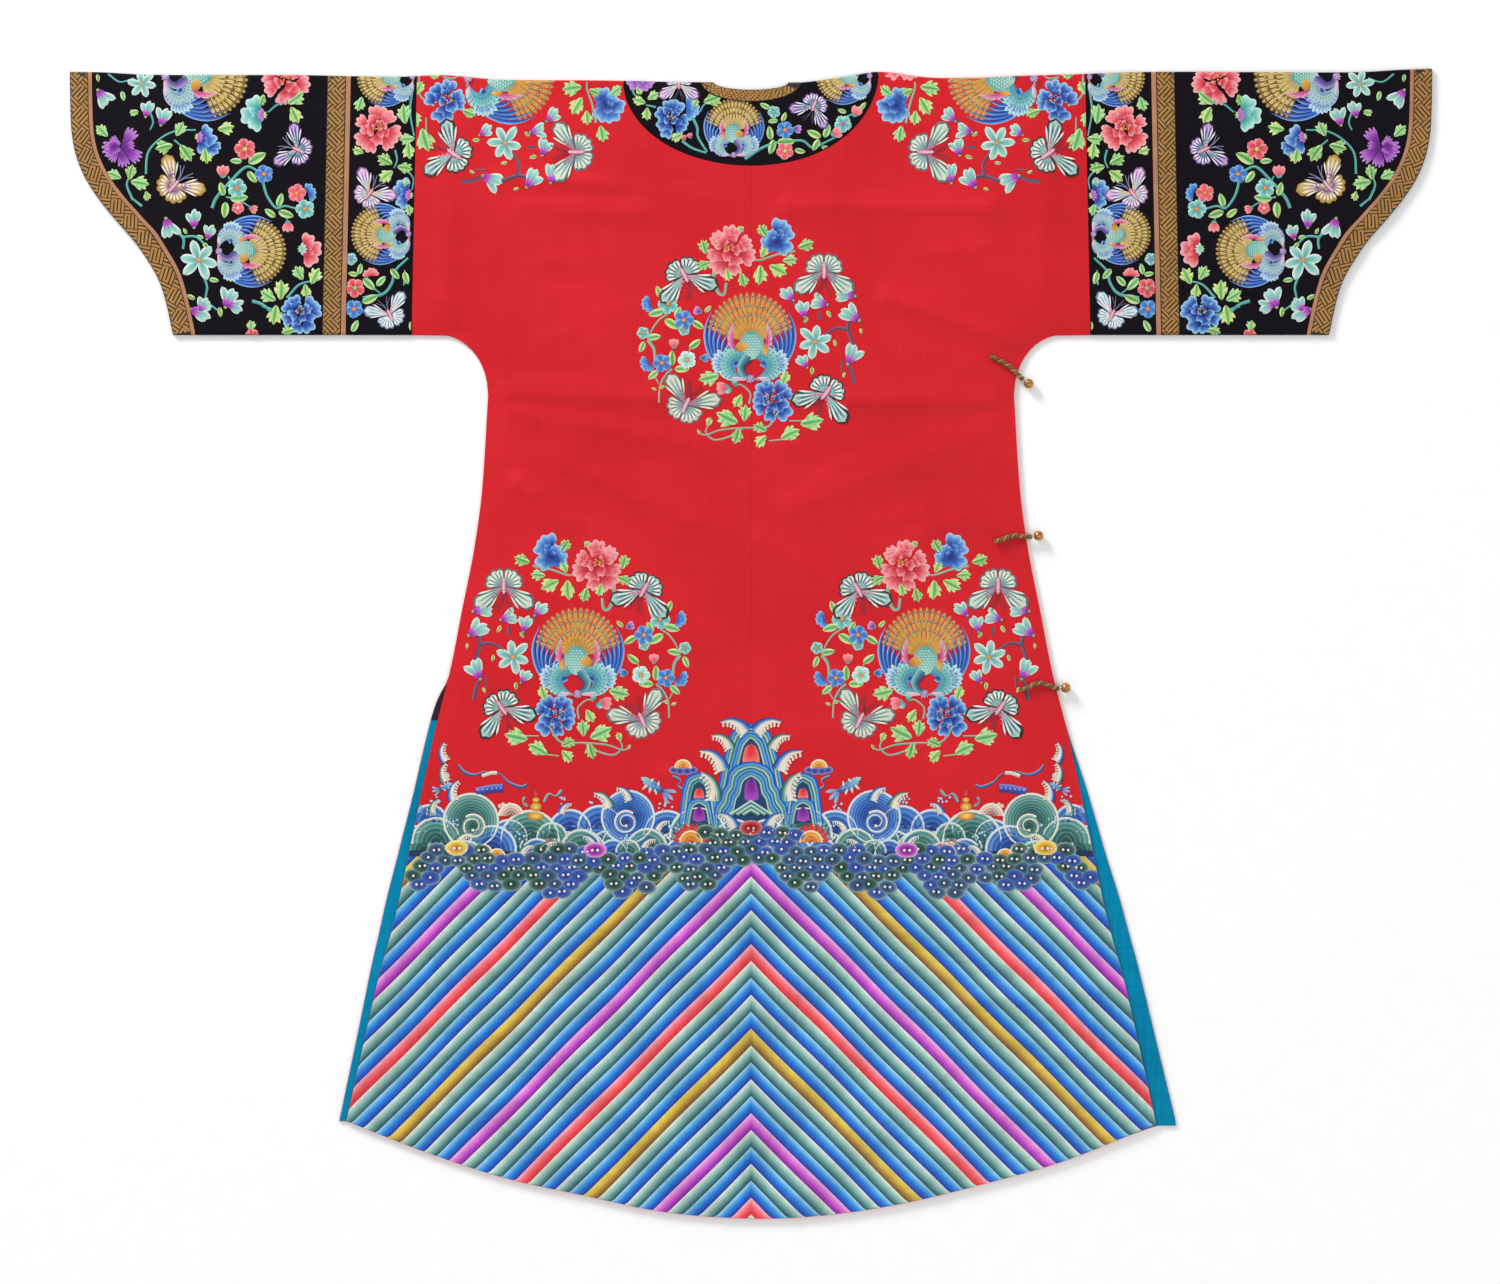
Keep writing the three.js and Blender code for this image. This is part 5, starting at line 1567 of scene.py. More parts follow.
def rolled(pen, x, y, radius, colours, start, stop, rings, tier, outline=True):
    """Concentric rings of stitches, each shaded from light to dark, inside a pale outline."""
    count = rings * 3 + 1
    t = np.linspace(1, 0.03, count)[:, None]
    a = np.radians(np.linspace(start, stop, max(10, int(abs(stop - start) / 11))))[None, :]
    xy = np.stack([x + radius * t * np.cos(a), y + radius * t * np.sin(a)], -1)
    saw = (np.arange(count) % 3) / 2
    share = 0.72 * (1 - t[:, 0]) ** 0.9 + 0.34 * saw + 0.12
    colour = ramp(colours, np.broadcast_to(share[:, None], (count, a.shape[1])))
    crown = 0.16 * np.sin(math.pi * saw)[:, None] + 0.25 * np.sqrt(1 - t * t * 0.98) + 0 * a
    along = np.stack([a * radius + 0 * t, radius * t + 0 * a], -1)
    pen.lay(xy, crown, colour, along, tier)
    if outline:
        edge = np.stack([x + radius * np.cos(a[0]), y + radius * np.sin(a[0])], -1)
        band(pen, edge, radius * 0.028 + 0.55, np.vstack([colours[:1], FOAM[:1]]), tier + 1.2, 0.3, 2)


def spiral(pen, x, y, radius, colours, tier, spin=1):
    """A rolled wave: a broad ring that shades inwards, and a smaller curl inside it."""
    rolled(pen, x, y, radius, colours, 0, 360, 9, tier)
    rolled(pen, x + 0.08 * radius * spin, y + 0.2 * radius, radius * 0.4, colours, 0, 360, 5, tier + 1.4,
           False)
    a = np.linspace(0, 1.62 * 2 * math.pi, 60)
    r = radius * (0.44 - 0.3 * (a / a[-1]) ** 1.6)
    line = np.stack([x + spin * (0.08 * radius - r * np.cos(a + 0.9)),
                     y + 0.2 * radius - r * np.sin(a + 0.9)], -1)
    band(pen, line, np.linspace(1.1, 0.7, 60), FOAM, tier + 2.4, 0.35, 3)
    disc(pen, line[-1][0], line[-1][1], 1.8, FOAM, tier=tier + 2.8, rows=2, cols=8)


def claw(pen, x, y, turn, size, colours, tier=1.0, flip=1):
    """A breaking crest that rises from its broad base: a dark horn, pale foam, fingers with beads."""
    here = pen.child(x, y, turn, size, tier=tier)
    line = smooth_line([(0.0, 0.08 * flip), (0.3, -0.07 * flip), (0.66, -0.08 * flip),
                        (0.98, 0.1 * flip)], 16)
    taper = np.linspace(1, 0.05, 16) ** 0.8
    ahead = headings(line)
    aside = np.stack([-ahead[:, 1], ahead[:, 0]], -1) * flip
    horn = line - aside * (0.1 * taper)[:, None]
    foam = line + aside * (0.11 * taper)[:, None]
    band(here, foam, 0.13 * taper, FOAM, 0.2, 0.3, 3)
    band(here, horn, 0.11 * taper, colours[::-1] if flip > 0 else colours, 0.9, 0.35, 4)
    edge = line + aside * (0.19 * taper)[:, None]
    for k in range(7):
        p = edge[1 + 2 * k]
        petal(here, p[0], p[1], flip * (100 - 8 * k), 0.12, 0.08, FOAM[::-1], tier=1.2, rows=3, cols=2)
        disc(here, p[0], p[1] + 0.13 * flip, 0.045, tones("fbf6ec", "d8c8b8"), tier=2.0, dome=0.4,
             rows=2, cols=7)


def rock(pen, x, profile, step, layers, core, tier=1.0):
    """A stepped rock: bands in turn blue, green and teal, from its outline in to a coloured core."""
    kinds = (STRIPE_BLUE, STRIPE_GREEN, tones("9fd4d8", "3f9aa8", "1c6a80", "134454"))
    rows = np.array(profile, float)
    base = rows[-1, 0]
    for k in range(layers):
        inset = step * k
        y = np.concatenate([[0, 0.4], np.linspace(1.4, base - rows[0, 0] - inset, 18)]) + rows[0, 0] + inset
        half = np.interp(y - inset * 0.7, rows[:, 0], rows[:, 1]) - inset * 0.9
        half = np.maximum(half * np.minimum(1, ((y - y[0]) / 3.0) ** 0.5), 0.0)
        left = np.stack([x - half, y], -1)[::-1]
        right = np.stack([x + half, y], -1)
        band(pen, np.vstack([left, right[1:]]), step * 0.6, kinds[k % 3][::-1],
             tier + 0.3 * (layers - k), 0.35, 4)
    wide, high, top, colours = core
    y = np.linspace(rows[0, 0], base, 18)
    half = np.interp(y, rows[:, 0], rows[:, 1])
    fill = np.stack([np.stack([x + half * s, y], -1) for s in (-1, -0.5, 0, 0.5, 1)], 1)
    pen.lay(fill, np.full((18, 5), 0.05), tones("12406a")[0], fill, tier)
    petal(pen, x, top + high, -90, high, wide * 2, colours, colours[0], (0.12, 0.4), 0, tier + 0.5, 0.4, 8, 6)


def waves(pen):
    """One half of the sea, mirrored for the other."""
    x, y = np.meshgrid(np.linspace(408, SEAM_PX, 60), np.linspace(840, 866, 6), indexing="ij")
    ground = np.stack([x, y], -1)
    pen.lay(ground, np.zeros(x.shape), tones("16305c")[0], ground, -0.4)
    for k in range(15):
        rolled(pen, 424 + 23 * k, 850, 19, (WAVE_TEAL, WAVE_BLUE)[k % 2], 178, 362, 4, 0.0)
        rolled(pen, 413 + 23 * k, 843, 17, (WAVE_BLUE, WAVE_TEAL)[k % 2], 178, 362, 4, -0.3)
    for x, y, r, kind, tier in (
        (436, 842, 24, 0, 1.4), (492, 850, 24, 1, 1.9), (530, 840, 29, 0, 1.2), (537, 854, 15, 1, 2.4),
        (570, 831, 21, 1, 0.8), (581, 850, 20, 0, 2.1), (600, 828, 22, 1, 0.9), (613, 854, 14, 1, 2.6),
        (647, 849, 20, 0, 2.2), (667, 834, 23, 1, 1.0), (698, 836, 28, 0, 1.6), (712, 858, 23, 1, 2.4),
        (735, 840, 20, 1, 1.7), (509, 838, 18, 1, 0.9), (430, 822, 17, 1, 0.8), (628, 852, 12, 0, 3.0),
        (560, 857, 14, 1, 2.8), (680, 854, 15, 1, 2.6), (466, 858, 17, 0, 2.5), (552, 838, 15, 0, 1.5),
    ):
        rolled(pen, x, y, r, (WAVE_TEAL, WAVE_BLUE)[kind], 176, 364, max(3, int(r / 4.5)), tier)
    draw_each(pen, spiral, ((471, 821, 27, WAVE_TEAL, 1.8, 1), (628, 817, 26, WAVE_BLUE, 1.8, -1)))
    for x, y, turn, size, kind, flip in (
        (748, 729, 200, 29, 1, -1), (732.5, 746, 212, 24, 0, -1), (726, 768, 219, 32, 1, -1),
        (718, 800, 245, 33, 0, -1), (737, 826, 218, 24, 1, -1), (727, 838, 210, 20, 0, -1),
        (612, 806, 222, 23, 0, -1), (632, 799, 222, 20, 1, -1), (443, 762, 268, 20, 1, 1),
        (443, 782, 272, 20, 0, 1), (450, 800, 288, 22, 1, 1), (430, 812, 300, 16, 0, 1),
        (455, 842, 330, 20, 0, 1), (559, 812, 320, 16, 1, 1), (541, 848, 335, 18, 0, 1),
        (655, 828, 330, 17, 1, 1), (597, 846, 222, 18, 1, -1),
        (641, 846, 330, 17, 1, 1), (520, 852, 330, 16, 0, 1),
    ):
        claw(pen, x, y, turn, size, (WAVE_TEAL, WAVE_BLUE)[kind], 3.4, flip)
    for x, y in ((454, 823), (521, 836), (598, 802), (626, 838), (676, 826), (560, 800), (665, 806),
                 (436, 800)):
        for k in range(7):
            dx, dy = rng.uniform(-8, 8), rng.uniform(-4, 4)
            disc(pen, x + dx, y + dy, rng.uniform(0.9, 1.5), tones("e8f4fc", "7ab0dc"), 1, 0, 6.0, 0.4, 1, 7)
    rock(pen, 699, ((774, 7), (780, 12), (790, 15), (806, 17), (824, 19)), 3.0, 3,
         (5.5, 12, 788, ROCK_RED), 1.6)
    rock(pen, 699, ((799, 6), (804, 10), (812, 12), (824, 14)), 2.8, 2,
         (6.5, 15, 807, ROCK_VIOLET), 3.0)


def ribbon_tie(pen, points, wide, colours, tier=1.0):
    line = smooth_line(points, 7 * len(points))
    band(pen, line, wide * (0.75 + 0.35 * np.sin(np.linspace(0, 9, len(line)))), colours, tier, 0.3, 3)


def small_things(pen):
    """Plain little objects that float above the waves."""
    gold = tones("f6dc80", "e8a83c", "c07018")
    grey_blue = tones("9ab4cc", "4f6fa8", "2c3f78")
    # A sun that rises out of a cloud
    rolled(pen, 683, 768, 8, tones("f8e8b0", "f4c860", "e89030", "d06020"), 175, 365, 3, 1.2)
    for dx, dy, r in ((-9, 2, 5), (-3, 3, 5.5), (4, 3, 5.5), (10, 2, 4.5)):
        disc(pen, 683 + dx, 768 + dy, r, tones("2c2f7c", "3f4fa4", "8a9ad0"), 0.75, 0, 1.8, 0.4, 3, 12)
    ribbon_tie(pen, [(672, 776), (680, 780), (678, 786), (684, 790)], 1.3, grey_blue)
    # A sun with flames, low in the waves
    rolled(pen, 691, 842, 11, tones("f8e0a0", "f0b850", "e08030", "c05020"), 178, 362, 3, 4.6)
    for k in range(9):
        a = 188 + 20.5 * k
        dx, dy = polar(10, a)
        petal(pen, 691 + dx, 842 + dy, a, 9, 4.4, tones("f04040", "c81828"), tier=4.2, rows=5, cols=3)
    # A jar with ribbons
    for dy, r, squash in ((14, 9, 0.5), (5, 6, 0.8), (-2, 4, 0.7)):
        disc(pen, 536, 802 + dy, r, gold, squash, 0, 2.8, 0.5, 3, 14)
    petal(pen, 536, 797, -90, 9, 4, tones("f05048", "b81820"), tier=3.4, rows=4, cols=3)
    ribbon_tie(pen, [(544, 802), (549, 794), (556, 796), (562, 790)], 1.4, tones("9ac0c0", "3f7f8c"), 2)
    ribbon_tie(pen, [(528, 806), (523, 802), (525, 797)], 1.4, tones("9ac0c0", "3f7f8c"), 2)
    # A scroll with ribbons
    ribbon_tie(pen, [(458, 765), (464, 772), (474, 775), (486, 772), (500, 774), (508, 782), (520, 787),
                     (527, 785)],
               1.6, tones("8aa4c4", "3f5f98", "24407a"), 1)
    band(pen, [(476, 792), (490, 789), (503, 788)], 4.2, tones("7a88d0", "3f4fae", "2c2f80"), 1.6, 0.5, 4)
    for k in range(6):
        disc(pen, 478 + 4.6 * k, 790 - 0.4 * k, 1.1, tones("c8d0f0"), 1, 0, 4, 0.2, 1, 6)
    band(pen, [(482, 776), (491, 773), (497, 773)], 1.8, tones("f4f0e4", "c8b8a0"), 2, 0.3, 3)
    # A ringed shell
    rolled(pen, 511, 816, 12, tones("f6ead8", "f0dcc8", "c89a8a", "7a4a50"), 180, 350, 4, 2.2)
    for k in range(4):
        disc(pen, 500 + 3.2 * k, 806 - 1.6 * (k % 2), 2.2, tones("f6ecdc", "c8b49a"), tier=2.8, rows=2,
             cols=8)
    # Branching coral
    for a in range(-170, 20, 26):
        petal(pen, 553, 852, a, 11 + 2 * (a % 3), 5, tones("d02030", "f05858"), tones("f8908c")[0],
              (0.5, 0.25), 0, 3.2, rows=5, cols=3)
    petal(pen, 553, 852, 90, 9, 12, tones("d02030", "a81424"), None, (0.3, 0.5), 0, 3.4, rows=4, cols=4)
    # Two orange half moons
    for x, y in ((484, 853), (497, 857)):
        rolled(pen, x, y, 8, tones("f8e4b0", "f4c050", "e88828", "b85818"), 182, 358, 3, 3.2)
    # Fish with long fins
    for x, y, turn, size in ((652, 786, 205, 15), (446, 786, -30, 9), (430, 812, 10, 8)):
        here = pen.child(x, y, turn, size, tier=2.2)
        petal(here, -0.9, 0, 0, 1.8, 0.62, tones("2c3f90", "4f8fc4", "a8d4d8"), None, (0.5, 0.5), 0.12,
              0, 0.5, 8, 4)
        for a in (150, 185, 215):
            petal(here, -0.75, 0, a, 0.95, 0.24, tones("3f6fb4", "a8c8e8"), None, (0.7, 0.4), 0.2, 0.6,
                  rows=5, cols=2)
        for k, a in enumerate((-70, -100, -130, 75, 105)):
            petal(here, 0.3 - 0.24 * k % 0.9, 0.0, a, 0.55, 0.16, FOAM, tier=0.9, rows=4, cols=2)
        for k in range(6):
            disc(here, -0.5 + 0.2 * k, 0.05, 0.07, tones("d4ecec", "4f7fc0"), 1, 0, 2.6, 0.2, 1, 6)
        disc(here, 0.72, -0.03, 0.07, tones("101020"), 1, 0, 3, 0.2, 1, 6)
    disc(pen, 445, 776, 5, tones("f0f4f4", "a8c0d0"), 0.8, 0, 2, 0.4, 2, 10)


# The key fret of the ribbons


def clip_polygon(points, axis, limit, keep_above):
    made = []
    for a, b in zip(points, points[1:] + points[:1]):
        in_a = (a[axis] >= limit) == keep_above
        in_b = (b[axis] >= limit) == keep_above
        if in_a:
            made.append(a)
        if in_a != in_b:
            t = (limit - a[axis]) / (b[axis] - a[axis])
            made.append((a[0] + (b[0] - a[0]) * t, a[1] + (b[1] - a[1]) * t))
    return made


# How high the fret's bars stand, and the smallest piece of a bar that is kept, in square millimetres
BAR_HIGH, LEAST_BAR = 0.42, 0.8


def fret(name, length, width, to_view, edge=0.9, pitch=4.5, bar=2.8, block=4):
    """Raised gold bars at 45 degrees: blocks of bars joined into keys, turned by turns."""
    size = block * pitch
    root = math.sqrt(0.5)
    reach = int((length + width) / size * 1.5) + 3
    points, faces = [], []
    for i in range(-reach, reach):
        for j in range(-reach, reach):
            turned = (i + j) % 2
            boxes = []
            for k in range(block):
                low = k * pitch + (pitch - bar) / 2
                boxes.append((0.25, size - 0.25, low, low + bar))
            # Hooks join the first bar to the second at one end, and the second to the third at the other
            low = (pitch - bar) / 2 + bar
            boxes.append((0.25, 0.25 + bar * 0.8, low - 0.1, low + pitch - bar + 0.1))
            boxes.append((size - 0.25 - bar * 0.8, size - 0.25, low + pitch - 0.1,
                          low + 2 * pitch - bar + 0.1))
            for a0, a1, b0, b1 in boxes:
                corners = [(a0, b0), (a1, b0), (a1, b1), (a0, b1)]
                if turned:
                    corners = [(b, a) for a, b in corners][::-1]
                flat = [((i * size + p) * root + (j * size + q) * root,
                         (i * size + p) * root - (j * size + q) * root)
                        for p, q in corners]
                if max(v for _, v in flat) < 0 or min(v for _, v in flat) > width:
                    continue
                if max(u for u, _ in flat) < 0 or min(u for u, _ in flat) > length:
                    continue
                for axis, limit, above in ((1, edge, True), (1, width - edge, False), (0, 0.8, True),
                                           (0, length - 0.8, False)):
                    flat = clip_polygon(flat, axis, limit, above) if flat else flat
                if len(flat) < 3:
                    continue
                area = 0.5 * abs(sum(a[0] * b[1] - a[1] * b[0] for a, b in zip(flat, flat[1:] + flat[:1])))
                if area < LEAST_BAR:
                    continue
                base, count = len(points), len(flat)
                points += [(u, v, BAR_HIGH) for u, v in flat] + [(u, v, 0.0) for u, v in flat]
                faces.append(list(range(base, base + count)))
                for n in range(count):
                    m = (n + 1) % count
                    faces.append([base + n, base + count + n, base + count + m, base + m])
    uvz = np.array(points)
    x, y = to_view(uvz[:, 0], uvz[:, 1])
    z, y_on = surface(x, y)
    where = np.stack([x, y_on, z + uvz[:, 2]], -1)
    made = mesh_object(name, where, faces, GOLD, 30)
    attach(made, "root")
    return made


def cuff_view(side):
    """From distances along the cuff's edge and inwards from it to the view."""
    down = np.linspace(0, SLEEVE_DEPTH, 400)
    edge = cuff_edge(down)
    run = np.concatenate([[0], np.cumsum(np.hypot(np.diff(down), np.diff(edge)))])

    def to_view(u, v):
        at = np.interp(u, run, down)
        slope = (cuff_edge(at + 2) - cuff_edge(at - 2)) / 4
        size = np.sqrt(1 + slope * slope)
        x = cuff_edge(at) - v / size
        low = at + v * slope / size
        low = np.clip(low, 0.6, SLEEVE_DEPTH - 0.6)
        x = side * np.minimum(x, inside_cuff(low, 0.5))
        return x, shoulder_y(x, low) - low
    return to_view, float(run[-1])


def sleeve_view(side):
    def to_view(u, v):
        x = side * (sleeve_seam(PIPING_END + SEAM, u) + v)
        return x, shoulder_y(x, u) - u
    return to_view


def neck_view(u, v):
    """Round the back of the neck, from its left end: distances along and outwards."""
    a = np.linspace(math.pi, 0, 300)
    wide, high = NECK[0] + NECK_TRIM_WIDE / 2, NECK[1] + NECK_TRIM_WIDE / 2
    run = np.concatenate([[0], np.cumsum(np.hypot(np.diff(wide * np.cos(a)), np.diff(high * np.sin(a))))])
    at = np.interp(u, run, a)
    x = (NECK[0] + v) * np.cos(at)
    s = (NECK[1] + v) * np.sin(at)
    return x, shoulder_y(x, np.maximum(s, 0.5)) - np.maximum(s, 0.5)


for word, flip in (("left", False), ("right", True)):
    side = 1 if flip else -1
    rng = np.random.default_rng(LAYOUT_RNG + 1)
    cuff(panel(f"embroidery_cuff_{word}", "black_silk", flip, hold_cuff))
    band_panel(panel(f"embroidery_band_{word}", "black_silk", flip, hold_band))
    stripes(panel(f"embroidery_stripes_{word}", "red_silk", flip), side)
    sea = panel(f"embroidery_sea_{word}", "red_silk", flip)
    waves(sea)
    small_things(sea)
    small_clouds(panel(f"embroidery_clouds_{word}", "red_silk", flip))
    view_of_cuff, long_edge = cuff_view(side)
    fret(f"fret_cuff_{word}", long_edge, CUFF_RIBBON_WIDE, view_of_cuff)
    fret(f"fret_sleeve_{word}", SLEEVE_DEPTH, RIBBON_END - PIPING_END - SEAM, sleeve_view(side))
collar_panel(panel("embroidery_collar", "black_silk", False, hold_collar))
middle_rock = panel("embroidery_rock", "red_silk")
rock(middle_rock, SEAM_PX, ((725, 9), (731, 17), (741, 21), (764, 27), (781, 30), (800, 34), (836, 41)),
     3.0, 5,
     (9, 22, 744, ROCK_RED), 0.4)
rock(middle_rock, SEAM_PX, ((763, 10), (768, 16), (774, 21), (785, 23), (790, 27), (800, 29), (806, 34),
                            (815, 36)),
     3.0, 5, (7.5, 24, 778, ROCK_VIOLET), 2.4)
for k in range(3):
    band(middle_rock, [(SEAM_PX - 20 + 6 * k, 815), (SEAM_PX, 802 + 4.2 * k),
                       (SEAM_PX + 20 - 6 * k, 815)], 2.0,
         STRIPE_GREEN, 5.6, 0.35, 4)
# A thin line of darker red along the centre seam: painted shade where the two halves of the back meet
seam = panel("painted_seam_shade", "red_silk")
band(seam, [(SEAM_PX, y) for y in np.linspace(164, 727, 90)], 0.45, tones("5a060e", "7a0c16"), -0.3, 0.05, 1)
neck_run = 2 * math.hypot(NECK[0] + 7.5, 0) * 1.04
fret("fret_neck", neck_run, NECK_TRIM_WIDE, neck_view, 0.8, 3.6, 2.5, 3)

# The panels are made once all is drawn on them
for each in panels.values():
    each.make()

# Fastenings


# The cord's two plies, the length of one turn of them, and the thread wrapped round both its ends
PLY_OFF, PLY_RADIUS, TURN_LONG = 1.4, 1.75, 10.5
WRAP_OFF, WRAP_RADIUS, WRAP_SIDES = 2.7, 0.45, 6
WRAPPED_AT = (0, 2, 4, -1, -3, -5, -7)


def tube(centres, radius, sides):
    """Rings of points round a line."""
    ahead = headings(centres)
    aside = np.cross(ahead, [0, 0, 1.0])
    aside /= np.linalg.norm(aside, axis=1)[:, None]
    over = np.cross(aside, ahead)
    a = np.linspace(0, 2 * math.pi, sides, endpoint=False)
    radius = np.broadcast_to(radius, (len(centres),))
    ring = aside[:, None] * np.cos(a)[None, :, None] + over[:, None] * np.sin(a)[None, :, None]
    return centres[:, None] + ring * radius[:, None, None]


def tube_faces(rows, sides, base=0):
    index = ring_index(rows, sides, base)
    return grid_quads(index).tolist() + [index[0, :-1].tolist(), index[-1, :-1][::-1].tolist()]


def cord_line(spot, count):
    """Points along a cord's middle, from where it is sewn down to its button, and its direction."""
    x, down, cord_x, cord_down, bow = spot
    ahead = np.array([x - cord_x, cord_down - down], float)
    reach = np.linalg.norm(ahead)
    ahead /= reach
    length = reach - BUTTON_RADIUS - SHANK_LONG - SEAM
    t = np.linspace(0, 1, count)
    aside = bow * np.sin(math.pi * t) ** 2
    px = cord_x + ahead[0] * length * t - ahead[1] * aside
    py = SHOULDER_Y - cord_down + ahead[1] * length * t + ahead[0] * aside
    z = CORD_HEIGHT + crease_height(px, SHOULDER_Y - py)
    return np.stack([px, py, z], -1), ahead


def twisted_cord(number, spot):
    """Two plies laid round each other along the loop, wrapped at both ends."""
    line, _ = cord_line(spot, 90)
    run = run_along(line)
    step = headings(line)
    aside = np.cross(step, [0, 0, 1.0])
    over = np.cross(aside, step)
    points, faces = [], []
    for ply in range(2):
        a = run / TURN_LONG * 2 * math.pi + ply * math.pi
        centres = line + (aside * np.cos(a)[:, None] + over * np.sin(a)[:, None]) * PLY_OFF
        ring = tube(centres, PLY_RADIUS, 12)
        faces += tube_faces(len(line), 12, sum(len(p) for p in points))
        points.append(ring.reshape(-1, 3))
    plies = len(faces)
    for at in WRAPPED_AT:
        whole, direction = line[at], step[at]
        a = np.linspace(0, 2 * math.pi, 17)[:-1]
        side_of = np.cross(direction, [0, 0, 1.0])
        up = np.cross(side_of, direction)
        centres = whole + (side_of[None] * np.cos(a)[:, None] + up[None] * np.sin(a)[:, None]) * WRAP_OFF
        closed = np.vstack([centres, centres[:1]])
        ring = tube_round(closed, whole, direction)
        base = sum(len(p) for p in points)
        faces += grid_quads(ring_index(len(closed), WRAP_SIDES, base)).tolist()
        points.append(ring.reshape(-1, 3))
    made = mesh_object(f"cord_{number}", np.vstack(points), faces, CORD, 60)
    made.data.materials.append(PLY)
    for polygon in made.data.polygons[plies // 2:]:
        polygon.material_index = 1
    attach(made, "root")
    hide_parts(f"cord_loop_{number}")


def tube_round(centres, middle, direction):
    """Rings of points round a thread that is laid round the cord."""
    out = centres - middle
    out /= np.linalg.norm(out, axis=1)[:, None]
    a = np.linspace(0, 2 * math.pi, WRAP_SIDES, endpoint=False)
    ring = out[:, None] * np.cos(a)[None, :, None] + direction[None, None] * np.sin(a)[None, :, None]
    return centres[:, None] + ring * WRAP_RADIUS


def ball(number, spot):
    """A hollow-cast ball with a chased band and petals, on a ring shank."""
    x, down = spot[:2]
    _, ahead = cord_line(spot, 3)
    a = np.linspace(-math.pi / 2, math.pi / 2, 33)
    around = np.linspace(0, 2 * math.pi, 49)[:-1]
    lat, lon = np.meshgrid(a, around, indexing="ij")
    chased = 0.16 * np.maximum(0, np.cos(8 * lon)) * np.exp(-np.square((np.abs(lat) - 0.75) / 0.3))
    chased = chased + 0.14 * np.exp(-np.square(lat / 0.07))
    chased = chased - 0.12 * np.exp(-np.square((np.abs(lat) - 0.2) / 0.05))
    r = BUTTON_RADIUS - 0.15 + chased
    r[0], r[-1] = r[0].mean(), r[-1].mean()
    axis = np.array([-ahead[0], -ahead[1], 0.0])
    axis = axis * (BUTTON_RADIUS + SHANK_LONG) + np.array([0, 0, CORD_HEIGHT - BUTTON_RADIUS])
    axis /= np.linalg.norm(axis)
    side_of = np.cross(axis, [0, 0, 1.0])
    side_of /= np.linalg.norm(side_of)
    up = np.cross(side_of, axis)
    centre = np.array([x, SHOULDER_Y - down, BUTTON_RADIUS])
    grid = centre + (axis * np.sin(lat)[..., None] + side_of * (np.cos(lat) * np.cos(lon))[..., None]
                     + up * (np.cos(lat) * np.sin(lon))[..., None]) * r[..., None]
    faces = grid_quads(ring_index(*lat.shape)).tolist()
    made = mesh_object(f"ball_{number}", grid.reshape(-1, 3), faces, BRASS, 60)
    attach(made, "root")
    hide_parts(f"ball_button_{number}")
    # The shank: a stem that widens into a ring through which the cord passes
    out = np.linspace(BUTTON_RADIUS - 0.6, BUTTON_RADIUS + SHANK_LONG + 0.4, 12)
    stem_line = centre + axis * out[:, None]
    size = np.array([2.4, 2.0, 1.5, 1.15, 1.0, 1.0, 1.05, 1.25, 1.6, 1.75, 1.7, 1.2])
    shank = mesh_object(f"shank_{number}", tube(stem_line, size, 20).reshape(-1, 3), tube_faces(12, 20),
                        SILVER, 50)
    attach(shank, "root")


for number, spot in enumerate(FASTENINGS, 1):
    twisted_cord(number, spot)
    ball(number, spot)


# Studio
SENSOR, VIEW_WIDE_PX, VIEW_MIDDLE_PX = 36.0, 1500, 642
# The camera's height over the floor and over the robe's upper face, in metres
CAMERA_UP, CAMERA_TO_ROBE = 4.5, 4.495
camera_data = bpy.data.cameras.new("camera")
camera_data.sensor_width = SENSOR
camera_data.lens = SENSOR * CAMERA_TO_ROBE / (VIEW_WIDE_PX * PIXEL * MM)
camera_data.clip_end = 50.0
camera = bpy.data.objects.new("camera", camera_data)
camera.location = (-PIXEL * MM, (SHOULDER_Y - (VIEW_MIDDLE_PX - FOLD_PX) * PIXEL) * MM, CAMERA_UP)
bpy.context.collection.objects.link(camera)
bpy.context.scene.camera = camera

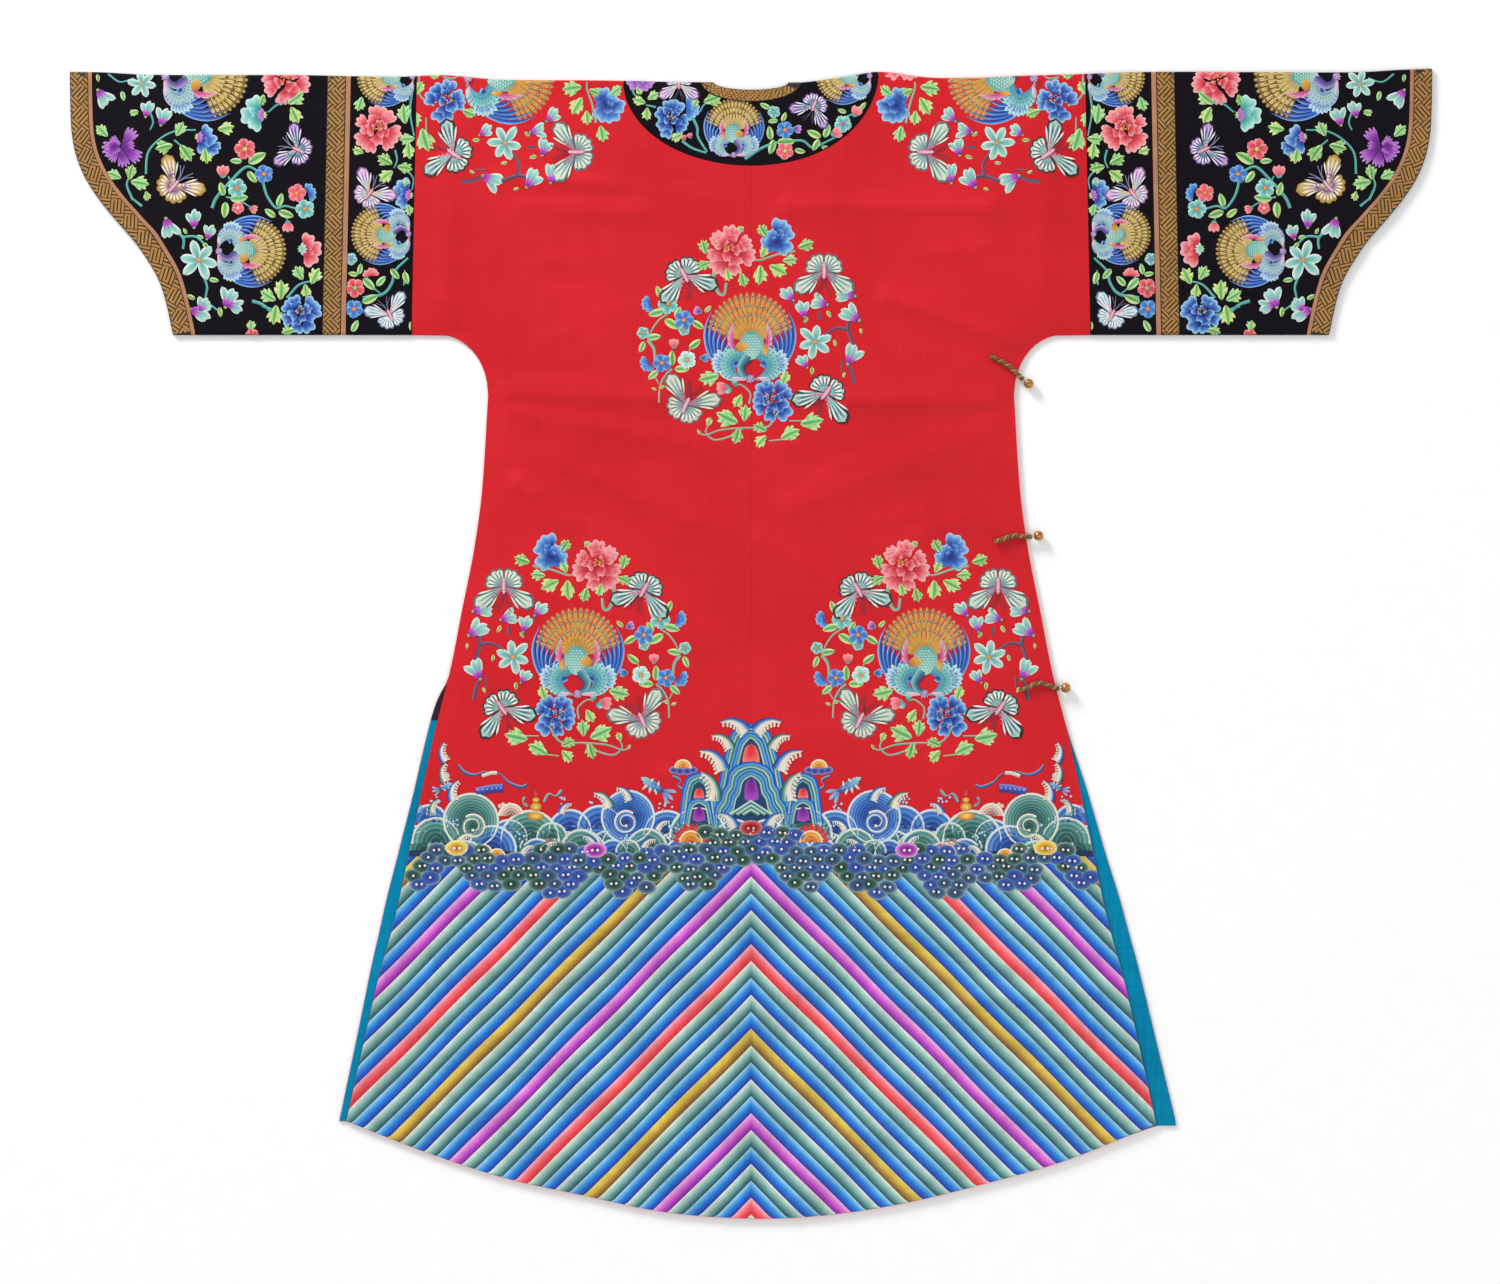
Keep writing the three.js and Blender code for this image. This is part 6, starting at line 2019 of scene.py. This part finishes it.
floor_nodes = Nodes("floor_paper")
speck = floor_nodes.noise(floor_nodes.position(), 40.0, 3.0)
floor_nodes.link(
    floor_nodes.mix(floor_nodes.range(speck, 0.3, 0.7, 0, 1), (0.93, 0.93, 0.93, 1), (0.96, 0.96, 0.96, 1)),
    floor_nodes.skin.inputs["Base Color"],
)
floor_nodes.skin.inputs["Roughness"].default_value = 0.9
floor = mesh_object(
    "floor", [(-9000, -9000, -0.4), (9000, -9000, -0.4), (9000, 9000, -0.4), (-9000, 9000, -0.4)],
    [(0, 1, 2, 3)], floor_nodes.material,
)


def area_light(name, where, size, power):
    """A round soft light, turned towards the robe's middle."""
    data = bpy.data.lights.new(name, "AREA")
    data.shape = "DISK"
    data.size = size
    data.energy = power
    light = bpy.data.objects.new(name, data)
    light.location = where
    x, y, z = where
    light.rotation_euler = (math.atan2(math.hypot(x, y), z), 0, math.atan2(-x, y) + math.pi)
    bpy.context.collection.objects.link(light)


area_light("key", (-3.6, 4.9, 2.6), 2.0, 350)
area_light("fill", (3.0, -2.0, 5.0), 3.0, 60)
world = bpy.data.worlds.new("studio")
world.use_nodes = True
world.node_tree.nodes["Background"].inputs["Color"].default_value = (1, 1, 1, 1)
world.node_tree.nodes["Background"].inputs["Strength"].default_value = 0.66
bpy.context.scene.world = world
bpy.context.scene.view_settings.view_transform = "Standard"

SEWN_ON = {
    "silk_body_left": ["embroidery_centre", "embroidery_rock", "painted_seam_shade"],
    "collar_silk": ["embroidery_collar"],
    "neck_ribbon_cloth": ["fret_neck"],
}
for word in ("left", "right"):
    SEWN_ON.setdefault(f"silk_body_{word}", []).extend(
        f"embroidery_{what}_{word}" for what in ("shoulder", "lower", "sea", "clouds", "stripes"))
    SEWN_ON[f"sleeve_band_{word}_cloth"] = [f"embroidery_band_{word}"]
    SEWN_ON[f"sleeve_ribbon_{word}_cloth"] = [f"fret_sleeve_{word}", f"sleeve_piping_{word}_cloth"]
    SEWN_ON[f"cuff_{word}_cloth"] = [f"embroidery_cuff_{word}"]
    SEWN_ON[f"cuff_ribbon_{word}_cloth"] = [f"fret_cuff_{word}", f"cuff_piping_{word}_cloth"]
